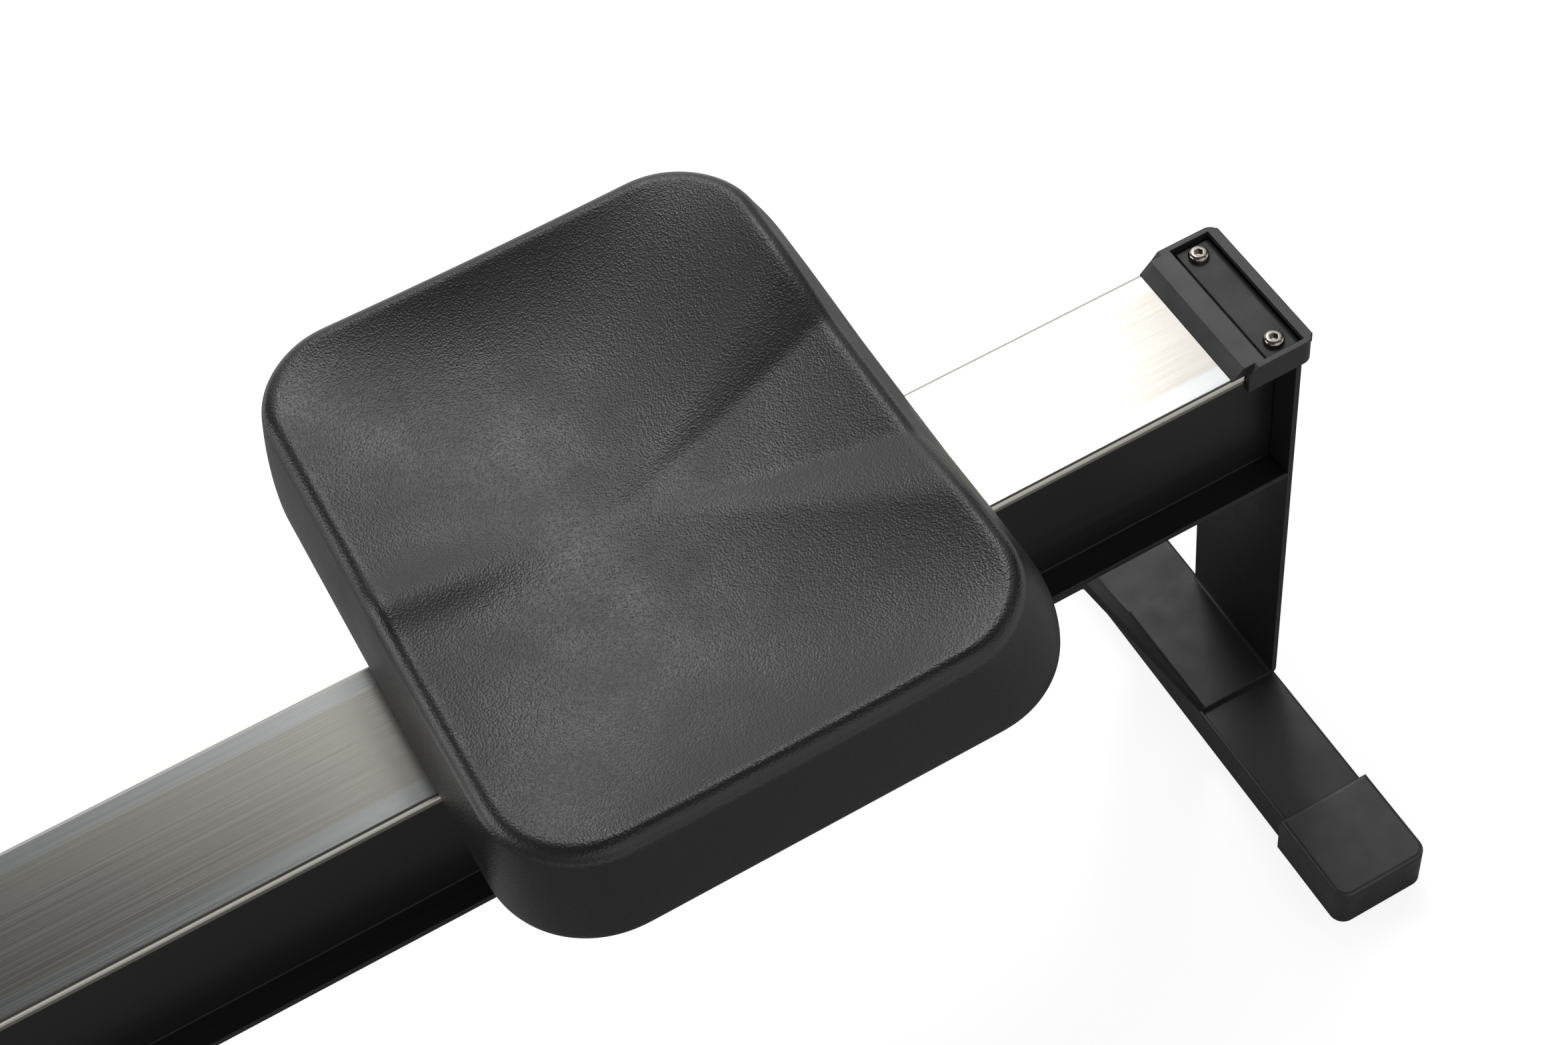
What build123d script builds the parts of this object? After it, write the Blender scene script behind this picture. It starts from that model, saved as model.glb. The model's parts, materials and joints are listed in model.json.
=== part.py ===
from build123d import *
import os
import math

# Air rowing machine, in millimetres. X runs along the rail towards the rear leg, Y is across,
# Z is up, and the origin is on the floor under the middle of the whole machine.

# Fits between pieces
fit = 0.2
slide_fit = 0.3
running_fit = 0.05
bush_fit = 0.05
overrun = 2.0

# Overall layout
rail_height = 322.0
rail_length = 1400.0
fan_reach = 690.0
fan_height = 395.0
seat_set = 318.0

# Rail
strip_width = 80.4
strip_gauge = 1.2
strip_lip = 4.0
strip_bend = 2.5
rail_depth = 105.7
web_width = 45.0
web_wall = 2.5
top_flange_gauge = 4.0
low_flange_gauge = 3.2
low_flange_width = 76.0

# Rear leg
leg_gauge = 3.0
leg_width = 76.0
leg_bend = 2.0
leg_top_flange = 21.0
leg_slope_run = 74.0
leg_shoe = 52.0

# Foot bars and their caps
bar_width = 50.0
bar_height = 25.0
bar_wall = 2.0
rear_foot_span = 350.0
front_foot_span = 570.0
cap_length = 57.0
cap_wall = 3.0
cap_base = 2.0
cap_end = 5.0
cap_corner = 8.0
cap_edge = 2.5

# End stop on the rail
stop_overhang = 3.7
stop_top = 6.0
stop_drop = 9.3
stop_reach = 38.0
stop_slope_run = 6.2
stop_side = 2.3
stop_lip = 3.9
stop_side_set = 7.2
stop_side_run = 5.3
stop_corner = 6.0
stop_edge = 1.5
pocket_wall = 2.9
pocket_front_set = 2.5
front_stop_length = 40.0
front_stop_height = 14.0
front_stop_inset = 6.0

# Screws and bolts
m6_radius = 3.0
m6_head_radius = 5.25
m6_head_height = 3.3
m6_head_round = 2.3
m6_key_radius = 2.3
m6_key_depth = 2.0
m5_radius = 2.5
m5_head_radius = 4.8
m5_head_height = 2.8
m8_radius = 4.0
m8_head_radius = 7.0
m8_head_height = 5.0
end_screw_set = 12.5
end_screw_spacing = 62.6
end_screw_length = 20.0
shoe_screw_length = 8.0

# Seat
seat_length = 268.0
seat_width = 319.0
seat_height = 93.0
seat_skirt_height = 27.0
seat_corner = 50.0
seat_top_forward = 4.0
seat_pocket_length = 212.0
seat_pocket_width = 126.0
seat_pocket_depth = 23.0
bowl_radius = 300.0
bowl_depth = 9.0
bowl_offset = 74.0
bowl_forward = 6.0
channel_radius = 75.0
channel_depth = 9.0
channel_length = 125.0
seat_section_shares = (
    (0.0, 0.962, 0.968),
    (0.08, 0.995, 0.996),
    (0.18, 1.0, 1.0),
    (0.5, 0.988, 0.995),
    (0.75, 0.955, 0.988),
    (0.87, 0.925, 0.982),
    (0.96, 0.895, 0.962),
    (1.0, 0.866, 0.937),
)

# Seat carriage
seat_plate_gauge = 3.0
seat_plate_length = 208.0
seat_plate_width = 120.0
carriage_gauge = 3.0
carriage_length = 200.0
carriage_width = 98.0
carriage_skirt = 39.0
carriage_tab = 30.0
carriage_tab_width = 44.0
wheelbase = 150.0
roller_radius = 17.0
roller_width = 10.0
roller_track = 66.0
roller_edge = 1.0
bearing_radius = 11.0
bearing_width = 7.0
axle_radius = 4.0
axle_shoulder = 6.0
axle_nut_radius = 6.5
axle_nut_length = 5.0
lower_roller_radius = 8.0
lower_roller_width = 10.0
stub_radius = 3.0
stub_head = 5.0
stub_head_length = 1.6
seat_bolt_x = 35.0
seat_bolt_y = 25.0

# Front frame
neck_width = 60.0
neck_height = 100.0
neck_wall = 3.0
neck_length = 425.0
tongue_length = 130.0
tongue_root = 20.0
tongue_wall = 4.0
tongue_clear = 2.0
joint_bolt_first = 30.0
joint_bolt_step = 65.0
plate_inset = 70.0
plate_gauge = 6.0
node_set = 352.0
node_radius = 48.0
spacer_radius = 20.0
spacer_step = 80.0
fan_eye_radius = 42.0
drum_eye_radius = 38.0
foot_eye_radius = 33.0
foot_plate_gauge = 6.0
front_foot_set = 20.0
boss_radius = 27.0
boss_depth = 14.0
boss_stand = 3.0
housing_radius = 20.0
housing_width = 12.0
shaft_radius = 8.5

# Drive
drum_set = 330.0
drum_radius = 38.0
drum_flange_radius = 58.0
drum_width = 42.0
drum_flange_gauge = 3.0
pulley_gap = 6.0
pulley_width = 14.0
drive_pulley_radius = 110.0
drive_pulley_rim = 7.0
drive_pulley_web = 4.0
drive_pulley_hub = 24.0
drive_pulley_hole = 20.0
drive_pulley_holes = 6
one_way_radius = 15.0
fan_pulley_radius = 28.0
belt_gauge = 3.0
belt_width = 10.0
shaft_tail = 3.0
spring_gauge = 1.2
spring_pitch = 4.5
spring_width = 12.0
spring_turns = 9
spring_set = 7.0
spring_post_radius = 4.0

# Fan and its cage
cage_radius = 255.0
cage_half_width = 58.0
cage_wall = 4.0
cage_eye = 30.0
cage_edge = 5.0
cage_post_radius = 9.0
cage_post_reach = 192.0
inlet_count = 12
inlet_inner = 62.0
inlet_rib = 8.0
inlet_outer = 142.0
inlet_open_share = 0.47
outlet_count = 40
outlet_open_share = 0.5
outlet_rib = 9.0
fan_radius = 225.0
fan_half_width = 44.0
fan_blades = 20
fan_blade_root = 95.0
fan_blade_gauge = 2.5
fan_blade_lean = 18.0
fan_disc_radius = 150.0
fan_disc_gauge = 3.0
fan_hub_radius = 24.0
fan_hub_half = 32.0

# Damper
damper_gauge = 3.0
damper_gap = 0.5
damper_margin = 4.0
damper_handle_reach = 246.0
damper_handle_width = 22.0
damper_handle_angle = 128.0
damper_grip_radius = 15.0
damper_grip_height = 5.0

# Strap, guide roller and handle
strap_rise = 70.0
strap_gauge = 2.0
strap_width = 38.0
guide_set = 75.0
guide_radius = 12.0
guide_width = 48.0
guide_eye_radius = 14.0
holder_width = 120.0
holder_height = 60.0
holder_depth = 30.0
holder_mouth = 9.0
holder_arm = 16.0
holder_arm_gauge = 8.0
holder_arm_reach = 26.0
holder_edge = 4.0
handle_radius = 12.5
handle_wall = 2.0
handle_span = 470.0
handle_straight = 210.0
handle_sweep = 12.0
handle_bend = 60.0
grip_radius = 17.0
grip_gap = 15.0
grip_edge = 5.0
lug_width = 44.0
lug_reach = 10.0

# Covers over the drive
cover_wall = 3.0
cover_clear = 16.0
cover_radius = 132.0
cover_nose_radius = 60.0
cover_half_width = 112.0
cover_edge = 6.0
cover_post_radius = 6.0
cover_post_reach = 122.0
cover_nose_post = 46.0

# Footplates
foot_angle = 45.0
foot_heel_set = 8.0
foot_heel_height = 200.0
footplate_length = 300.0
footplate_width = 124.0
footplate_gauge = 12.0
footplate_corner = 22.0
footplate_offset = 101.0
foot_tube_radius = 12.5
foot_tube_low = 70.0
foot_tube_high = 160.0
saddle_length = 34.0
saddle_depth = 8.0
foot_bolt_offset = 26.0
heel_length = 92.0
heel_width = 92.0
heel_gauge = 5.0
heel_height = 52.0
heel_wall = 5.0
heel_side_length = 62.0
heel_keel_width = 10.0
heel_keel_length = 30.0
heel_keel_depth = 7.2
heel_slot_depth = 9.6
heel_travel = 60.0
foot_strap_set = 205.0
foot_strap_width = 38.0
foot_strap_gauge = 2.5
foot_strap_half = 52.0
foot_strap_shoulder = 30.0
foot_strap_crown = 34.0
foot_strap_height = 62.0
foot_strap_tail = 8.0
foot_strap_bend = 14.0
buckle_length = 48.0
buckle_width = 24.0
buckle_gauge = 7.0
ridge_count = 11
ridge_gauge = 3.0
ridge_height = 1.5
ridge_pitch = 12.0
ridge_gap = 4.0

# Transport wheels
wheel_radius = 32.0
wheel_width = 24.0
wheel_inset = 93.0
wheel_gap = 1.0
wheel_reach = 38.0
wheel_lift = 3.0
wheel_tread = 2.0
ear_gauge = 4.0
ear_radius = 14.0

# Monitor and its arm
arm_pivot_ahead = 90.0
arm_pivot_above = 120.0
arm_eye_radius = 20.0
arm_tube_radius = 14.0
arm_tube_wall = 2.0
arm_hub_radius = 15.0
arm_lean = 85.0
arm_rise = 300.0
tilt_pin_radius = 4.0
tilt_ear_gauge = 6.0
tilt_half = 15.5
tilt_back = 16.0
monitor_angle = 20.0
monitor_width = 190.0
monitor_height = 150.0
monitor_depth = 24.0
monitor_corner = 16.0
monitor_wall = 2.5
bezel_depth = 8.0
bezel_wall = 3.0
screen_width = 134.0
screen_height = 82.0
screen_gauge = 2.0
screen_up = 18.0
screen_ledge = 4.0
key_width = 26.0
key_height = 12.0
key_pitch = 46.0
key_down = 48.0
key_proud = 2.0
key_flange = 1.5
key_flange_gauge = 1.5

# Places worked out from the sizes
total_length = stop_overhang + leg_gauge + rail_length + fan_reach + cage_radius
x_back = total_length / 2
x_plate = x_back - stop_overhang
x_rail_end = x_plate - leg_gauge
x_rail_front = x_rail_end - rail_length
x_fan = x_rail_front - fan_reach
x_drum = x_fan + drum_set
x_seat = x_rail_end - seat_set
z_run = rail_height
z_beam_top = z_run - strip_gauge
z_overhang = z_beam_top - top_flange_gauge
z_rail_low = z_run - rail_depth
z_bar_top = cap_base + bar_height
z_pocket = z_run + seat_skirt_height + seat_pocket_depth
z_seat_plate = z_pocket - seat_plate_gauge
z_carriage = z_seat_plate - carriage_gauge
z_axle = z_run + roller_radius
z_stub = z_overhang - slide_fit - lower_roller_radius
z_neck_mid = z_rail_low + neck_height / 2
x_front_foot = x_fan - front_foot_set
flange_half = strip_width / 2 - strip_gauge - fit
plate_outer = plate_inset + plate_gauge
boss_inner = plate_inset - boss_stand
boss_outer = boss_inner + boss_depth
pulley_inner = boss_outer + pulley_gap
pulley_outer = pulley_inner + pulley_width
fan_axis = (x_fan, fan_height)
drum_height = rail_height + cover_clear + cover_radius
drum_axis = (x_drum, drum_height)
neck_node = (x_rail_front - node_set, z_neck_mid)
foot_node = (x_front_foot, z_bar_top + foot_eye_radius)
strap_height = drum_height + strap_rise
z_guide = strap_height - strap_gauge / 2 - slide_fit - guide_radius
guide_axis = (x_drum + guide_set, z_guide)
arm_axis = (x_drum - arm_pivot_ahead, drum_height + arm_pivot_above)
tilt_axis = (arm_axis[0] + arm_lean, arm_axis[1] + arm_rise)
holder_back = math.sqrt(cover_radius ** 2 - strap_rise ** 2)
x_holder = x_drum + holder_back + holder_depth / 2
x_handle = x_holder + handle_radius + slide_fit
grip_length = (handle_span - handle_straight) / 2 - grip_gap + cap_wall
wheel_track = front_foot_span - 2 * wheel_inset
wheel_axis = (x_front_foot - bar_width / 2 - wheel_reach, wheel_radius + wheel_lift)


def box(x0, x1, y0, y1, z0, z1):
    middle = Pos((x0 + x1) / 2, (y0 + y1) / 2, (z0 + z1) / 2)
    return middle * Box(x1 - x0, y1 - y0, z1 - z0)


def rod_y(axis, radius, y0, y1):
    middle = Pos(axis[0], (y0 + y1) / 2, axis[1])
    return middle * Rot(90, 0, 0) * Cylinder(radius, abs(y1 - y0))


def rod_z(x, y, radius, z0, z1):
    return Pos(x, y, (z0 + z1) / 2) * Cylinder(radius, z1 - z0)


def hex_y(axis, radius, y0, y1):
    middle = Pos(axis[0], min(y0, y1), axis[1])
    face = Plane((0, 0, 0), x_dir=(1, 0, 0), z_dir=(0, -1, 0)) * RegularPolygon(radius, 6)
    return middle * extrude(face, amount=-abs(y1 - y0))


def slab_y(face, y0, y1):
    """A face drawn in X and Z, made as thick as the two Y places are apart."""
    plane = Plane((0, y0, 0), x_dir=(1, 0, 0), z_dir=(0, -1, 0))
    return extrude(plane * face, amount=-(y1 - y0))


def rim_point(centre, radius, angle):
    return (centre[0] + radius * math.cos(angle), centre[1] + radius * math.sin(angle))


def along(start, end, distance):
    reach = math.dist(start, end)
    share = distance / reach
    return (start[0] + (end[0] - start[0]) * share, start[1] + (end[1] - start[1]) * share)


def tangent_angles(first, first_radius, second, second_radius):
    lean = math.atan2(second[1] - first[1], second[0] - first[0])
    spread = math.acos((first_radius - second_radius) / math.dist(first, second))
    return lean, spread


def link(first, first_radius, second, second_radius):
    """Two round eyes with straight tangents between them."""
    lean, spread = tangent_angles(first, first_radius, second, second_radius)
    high = lean + spread
    low = lean - spread
    edges = [
        Line(rim_point(first, first_radius, high), rim_point(second, second_radius, high)),
        ThreePointArc(
            rim_point(second, second_radius, high),
            rim_point(second, second_radius, lean),
            rim_point(second, second_radius, low),
        ),
        Line(rim_point(second, second_radius, low), rim_point(first, first_radius, low)),
        ThreePointArc(
            rim_point(first, first_radius, low),
            rim_point(first, first_radius, lean + math.pi),
            rim_point(first, first_radius, high),
        ),
    ]
    return make_face(edges)


def sector(centre, inner, outer, start, end):
    """A piece of a flat ring between two angles in degrees."""
    first = math.radians(start)
    last = math.radians(end)
    middle = (first + last) / 2
    edges = [
        Line(rim_point(centre, inner, first), rim_point(centre, outer, first)),
        ThreePointArc(
            rim_point(centre, outer, first),
            rim_point(centre, outer, middle),
            rim_point(centre, outer, last),
        ),
        Line(rim_point(centre, outer, last), rim_point(centre, inner, last)),
        ThreePointArc(
            rim_point(centre, inner, last),
            rim_point(centre, inner, middle),
            rim_point(centre, inner, first),
        ),
    ]
    return make_face(edges)


def offset_path(path, distance):
    """The same path moved to its right-hand side, with mitred corners."""
    normals = []
    for start, end in zip(path, path[1:]):
        reach = math.dist(start, end)
        normals.append(((end[1] - start[1]) / reach, -(end[0] - start[0]) / reach))
    moved = []
    for index, point in enumerate(path):
        before = normals[max(index - 1, 0)]
        after = normals[min(index, len(normals) - 1)]
        scale = distance / (1 + before[0] * after[0] + before[1] * after[1])
        moved.append(
            (point[0] + (before[0] + after[0]) * scale, point[1] + (before[1] + after[1]) * scale)
        )
    return moved


def bent_face(path, gauge, bend):
    """The edge view of a sheet or strap that follows a path with round bends."""
    moved = offset_path(path, gauge)
    path_radii = []
    moved_radii = []
    for before, corner, after in zip(path, path[1:], path[2:]):
        turn = (corner[0] - before[0]) * (after[1] - corner[1])
        turn -= (corner[1] - before[1]) * (after[0] - corner[0])
        path_radii.append(bend + gauge if turn < 0 else bend)
        moved_radii.append(bend if turn < 0 else bend + gauge)
    radii = [0] + path_radii + [0, 0] + moved_radii[::-1] + [0]
    return make_face(FilletPolyline(*path, *moved[::-1], radius=radii, close=True).edges())


def both_sides(piece):
    return [piece, mirror(piece, about=Plane.XZ)]


def button_screw(x, y, z, length):
    """A round-headed screw with a hexagon socket, its head on the face at z."""
    head = rod_z(x, y, m6_head_radius, z, z + m6_head_height)
    head = fillet(head.edges().sort_by(Axis.Z)[-1], m6_head_round)
    socket = Pos(x, y, z + m6_head_height - m6_key_depth) * extrude(
        RegularPolygon(m6_key_radius, 6), amount=m6_key_depth + overrun
    )
    return head - socket + rod_z(x, y, m6_radius, z - length, z)


# Rail

def rail_beam():
    half = web_width / 2
    end = x_rail_end - slide_fit
    beam = box(x_rail_front, end, -flange_half, flange_half, z_overhang, z_beam_top)
    long_edges = beam.edges().filter_by(Axis.X).group_by(Axis.Z)[-1]
    beam = fillet(long_edges, strip_bend - strip_gauge + fit)
    beam += box(x_rail_front, end, -half, half, z_rail_low, z_overhang)
    low_top = z_rail_low + low_flange_gauge
    low_half = low_flange_width / 2
    beam += box(x_rail_front, end, -low_half, low_half, z_rail_low, low_top)
    hollow = half - web_wall
    beam -= box(
        x_rail_front - overrun, end + overrun, -hollow, hollow, low_top, z_overhang
    )
    for x, y in end_screw_places() + front_stop_screws():
        beam -= rod_z(x, y, m6_radius + fit, z_overhang - overrun, z_run)
    for x, y in shoe_screw_places():
        beam -= rod_z(x, y, m6_radius + fit, z_rail_low - overrun, low_top + overrun)
    for axis in joint_bolt_axes():
        beam -= rod_y(axis, m8_radius + fit, -half - overrun, half + overrun)
    return beam


def rail_strip():
    half = strip_width / 2
    end = x_rail_end - leg_bend
    outer = box(x_rail_front, end, -half, half, z_run - strip_lip, z_run)
    long_edges = outer.edges().filter_by(Axis.X).group_by(Axis.Z)[-1]
    outer = fillet(long_edges, strip_bend)
    inner_half = half - strip_gauge
    inner = box(
        x_rail_front - overrun,
        end + overrun,
        -inner_half,
        inner_half,
        z_run - strip_lip - overrun,
        z_beam_top,
    )
    inner_edges = inner.edges().filter_by(Axis.X).group_by(Axis.Z)[-1]
    strip = outer - fillet(inner_edges, strip_bend - strip_gauge)
    for x, y in end_screw_places() + front_stop_screws():
        strip -= rod_z(x, y, m6_radius + fit, z_beam_top - overrun, z_run + overrun)
    return strip


# Rear leg

def end_screw_places():
    return [(x_plate - end_screw_set, side * end_screw_spacing / 2) for side in (-1, 1)]


def shoe_screw_places():
    x = x_plate - bar_width - leg_slope_run - leg_shoe / 2
    y = (web_width + low_flange_width) / 4
    return [(x, -y), (x, y)]


def front_stop_screws():
    x = x_rail_front + front_stop_inset + front_stop_length / 2
    return [(x, side * end_screw_spacing / 3) for side in (-1, 1)]


def rear_leg_bracket():
    z_shoe = z_rail_low - leg_gauge
    path = [
        (x_plate - leg_top_flange, z_run + leg_gauge),
        (x_plate, z_run + leg_gauge),
        (x_plate, z_bar_top),
        (x_plate - bar_width, z_bar_top),
        (x_plate - bar_width - leg_slope_run, z_shoe),
        (x_plate - bar_width - leg_slope_run - leg_shoe, z_shoe),
    ]
    half = leg_width / 2
    bracket = slab_y(bent_face(path, leg_gauge, leg_bend), -half, half)
    for x, y in end_screw_places():
        bracket -= rod_z(x, y, m6_radius + fit, z_run - overrun, z_run + leg_gauge + overrun)
    for x, y in shoe_screw_places():
        bracket -= rod_z(x, y, m6_radius + fit, z_shoe - overrun, z_rail_low + overrun)
    return bracket


def foot_bar(x_mid, span):
    half = bar_width / 2
    reach = span / 2 - cap_end
    bar = box(x_mid - half, x_mid + half, -reach, reach, cap_base, z_bar_top)
    edges = bar.edges().filter_by(Axis.Y)
    bar = fillet(edges, bar_wall)
    hollow = half - bar_wall
    bar -= box(
        x_mid - hollow,
        x_mid + hollow,
        -reach - overrun,
        reach + overrun,
        cap_base + bar_wall,
        z_bar_top - bar_wall,
    )
    return bar


def rear_bar_middle():
    return x_plate - bar_width / 2


def rear_foot_bar():
    return foot_bar(rear_bar_middle(), rear_foot_span)


def foot_cap(x_mid, span):
    half = bar_width / 2 + cap_wall
    outer_end = span / 2
    cap = box(
        x_mid - half, x_mid + half, outer_end - cap_length, outer_end, 0, z_bar_top + cap_wall
    )
    corners = cap.edges().filter_by(Axis.Z).group_by(Axis.Y)[-1]
    cap = fillet(corners, cap_corner)
    top = cap.faces().sort_by(Axis.Z)[-1]
    cap = fillet(top.edges(), cap_edge)
    room = bar_width / 2 + fit
    cap -= box(
        x_mid - room,
        x_mid + room,
        outer_end - cap_length - overrun,
        outer_end - cap_end,
        cap_base,
        z_bar_top + fit,
    )
    return cap


def foot_caps():
    return both_sides(foot_cap(rear_bar_middle(), rear_foot_span)) + both_sides(
        foot_cap(x_front_foot, front_foot_span)
    )


def rear_stop():
    toe = x_rail_end - stop_reach
    brow = toe + stop_slope_run
    top = z_run + stop_top
    low = z_run - stop_drop
    block_half = strip_width / 2 - stop_edge / 2
    side_half = strip_width / 2 + fit + stop_side
    block = slab_y(
        make_face(
            Polyline((toe, z_run), (brow, top), (x_back, top), (x_back, z_run), close=True)
        ),
        -block_half,
        block_half,
    )
    side_toe = toe + stop_side_set
    side_profile = Polyline(
        (side_toe, z_run),
        (side_toe + stop_side_run, top),
        (x_back, top),
        (x_back, low),
        (side_toe, low),
        close=True,
    )
    wrap = slab_y(make_face(side_profile), -side_half, side_half)
    rear_corners = wrap.edges().filter_by(Axis.Z).group_by(Axis.X)[-1]
    wrap = fillet(rear_corners, stop_corner)
    cap = block + wrap
    rail_half = strip_width / 2 + fit
    cap -= box(
        toe - overrun, x_plate + fit, -rail_half, rail_half, z_overhang - fit, z_run
    )
    lip_half = strip_width / 2 + fit + stop_side - stop_lip
    cap -= box(
        toe - overrun, x_plate + fit, -lip_half, lip_half, low - overrun, z_overhang
    )
    plate_half = leg_width / 2 + fit
    cap -= box(
        x_plate - leg_top_flange - pocket_front_set,
        x_plate + fit,
        -plate_half,
        plate_half,
        z_run - overrun,
        z_run + leg_gauge + fit,
    )
    pocket_half = side_half - pocket_wall
    cap -= box(
        x_plate - leg_top_flange - pocket_front_set,
        x_back - stop_overhang - leg_gauge / 2,
        -pocket_half,
        pocket_half,
        z_run,
        top + overrun,
    )
    return cap


def front_stop():
    start = x_rail_front + front_stop_inset
    half = end_screw_spacing / 2
    block = box(
        start, start + front_stop_length, -half, half, z_run, z_run + front_stop_height
    )
    block = fillet(block.edges().filter_by(Axis.Z), stop_corner)
    block = chamfer(block.faces().sort_by(Axis.Z)[-1].edges(), stop_edge)
    for x, y in front_stop_screws():
        block -= rod_z(x, y, m6_radius + fit, z_run - overrun, z_run + front_stop_height + overrun)
    return block


def rail_screws():
    screws = []
    for x, y in end_screw_places():
        screws.append(button_screw(x, y, z_run + leg_gauge, end_screw_length))
    for x, y in shoe_screw_places():
        z = z_rail_low + low_flange_gauge
        screws.append(button_screw(x, y, z, shoe_screw_length))
    for x, y in front_stop_screws():
        screws.append(button_screw(x, y, z_run + front_stop_height, end_screw_length))
    return screws


# Seat

def seat_cushion():
    low = z_run + seat_skirt_height
    rise = seat_height - seat_skirt_height
    sections = []
    for height_share, length_share, width_share in seat_section_shares:
        outline = RectangleRounded(
            seat_length * length_share, seat_width * width_share, seat_corner * length_share
        )
        x = x_seat - seat_top_forward * height_share
        sections.append(Pos(x, 0, low + rise * height_share) * outline)
    pad = loft(sections)
    top = z_run + seat_height
    for side in (-1, 1):
        centre = Pos(x_seat - bowl_forward, side * bowl_offset, top + bowl_radius - bowl_depth)
        pad -= centre * Sphere(bowl_radius)
    tilt = math.degrees(math.atan2(channel_depth, channel_length))
    rear = Pos(x_seat + seat_length / 2, 0, top - channel_depth)
    roller = rear * Rot(0, 90 + tilt, 0) * Pos(-channel_radius, 0, 0)
    pad -= roller * Cylinder(channel_radius, seat_length)
    half_length = seat_pocket_length / 2
    half_width = seat_pocket_width / 2
    pad -= box(
        x_seat - half_length,
        x_seat + half_length,
        -half_width,
        half_width,
        low - overrun,
        z_pocket,
    )
    return pad


def seat_bolt_places():
    return [
        (x_seat + sx * seat_bolt_x, sy * seat_bolt_y) for sx in (-1, 1) for sy in (-1, 1)
    ]


def seat_plate():
    half = seat_plate_length / 2
    width = seat_plate_width / 2
    plate = box(x_seat - half, x_seat + half, -width, width, z_seat_plate, z_pocket)
    plate = fillet(plate.edges().filter_by(Axis.Z), cap_corner)
    for x, y in seat_bolt_places():
        plate -= rod_z(x, y, m6_radius + fit, z_seat_plate - overrun, z_pocket + overrun)
    return plate


def seat_bolts():
    bolts = []
    for x, y in seat_bolt_places():
        head = rod_z(x, y, m6_head_radius, z_carriage - m6_head_height, z_carriage)
        bolts.append(head + rod_z(x, y, m6_radius, z_carriage, z_pocket))
    return bolts


def roller_axes():
    half = wheelbase / 2
    return [(x_seat - half, z_axle), (x_seat + half, z_axle)]


def seat_carriage():
    half = carriage_length / 2
    outer = carriage_width / 2
    inner = outer - carriage_gauge
    skirt_low = z_seat_plate - carriage_skirt
    frame = box(x_seat - half, x_seat + half, -outer, outer, skirt_low, z_seat_plate)
    tab = carriage_tab_width / 2
    frame += box(x_seat - tab, x_seat + tab, -outer, outer, skirt_low - carriage_tab, skirt_low)
    frame -= box(
        x_seat - half - overrun,
        x_seat + half + overrun,
        -inner,
        inner,
        skirt_low - carriage_tab - overrun,
        z_carriage,
    )
    for x, y in seat_bolt_places():
        frame -= rod_z(x, y, m6_radius + fit, z_carriage - overrun, z_seat_plate + overrun)
    for axis in roller_axes():
        frame -= rod_y(axis, axle_radius + bush_fit, -outer - overrun, outer + overrun)
    frame -= rod_y((x_seat, z_stub), stub_radius + bush_fit, -outer - overrun, outer + overrun)
    return frame


def seat_axles():
    outer = carriage_width / 2
    inner = outer - carriage_gauge
    bearing_in = roller_track / 2 - bearing_width / 2 - fit
    bearing_out = roller_track / 2 + bearing_width / 2 + fit
    pieces = []
    for axis in roller_axes():
        end = outer + axle_nut_length
        axle = rod_y(axis, axle_radius, -end, end)
        axle += rod_y(axis, axle_shoulder, -bearing_in, bearing_in)
        for side in (-1, 1):
            axle += rod_y(axis, axle_shoulder, side * bearing_out, side * inner)
            axle += hex_y(axis, axle_nut_radius, side * outer, side * end)
        pieces.append(axle)
    stub_axis = (x_seat, z_stub)
    roller_in = roller_track / 2 - lower_roller_width / 2 - fit
    for side in (-1, 1):
        end = outer + axle_nut_length
        stub = rod_y(stub_axis, stub_radius, side * roller_in, side * end)
        head_in = roller_in - stub_head_length
        stub += rod_y(stub_axis, stub_head, side * head_in, side * roller_in)
        stub += hex_y(stub_axis, axle_nut_radius, side * outer, side * end)
        roller_out = roller_track / 2 + lower_roller_width / 2 + fit
        stub += rod_y(stub_axis, stub_head, side * roller_out, side * inner)
        pieces.append(stub)
    return pieces


def seat_roller_bearings():
    races = []
    half = bearing_width / 2
    for axis in roller_axes():
        for side in (-1, 1):
            middle = side * roller_track / 2
            race = rod_y(axis, bearing_radius, middle - half, middle + half)
            bore = axle_radius + bush_fit
            race -= rod_y(axis, bore, middle - bearing_width, middle + bearing_width)
            races.append(race)
    return races


def seat_roller(axis, side):
    half = roller_width / 2
    middle = side * roller_track / 2
    wheel = rod_y(axis, roller_radius - slide_fit, middle - half, middle + half)
    wheel = chamfer(wheel.edges().filter_by(GeomType.CIRCLE), roller_edge)
    bore = bearing_radius + running_fit
    wheel -= rod_y(axis, bore, middle - roller_width, middle + roller_width)
    return wheel


def lower_roller(side):
    half = lower_roller_width / 2
    middle = side * roller_track / 2
    axis = (x_seat, z_stub)
    wheel = rod_y(axis, lower_roller_radius, middle - half, middle + half)
    wheel = chamfer(wheel.edges().filter_by(GeomType.CIRCLE), roller_edge)
    wheel -= rod_y(
        axis, stub_radius + running_fit, middle - lower_roller_width, middle + lower_roller_width
    )
    return wheel


# Front frame

def joint_bolt_axes():
    first = x_rail_front + joint_bolt_first
    return [(first, z_neck_mid), (first + joint_bolt_step, z_neck_mid)]


def foot_plane(side):
    """The plane of one footplate: its face, with X up the slope and Z out of the face."""
    lean = math.radians(foot_angle)
    origin = (x_rail_front - foot_heel_set, side * footplate_offset, foot_heel_height)
    up_slope = (-math.cos(lean), 0, math.sin(lean))
    outward = (math.sin(lean), 0, math.cos(lean))
    return Plane(origin, x_dir=up_slope, z_dir=outward)


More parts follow.
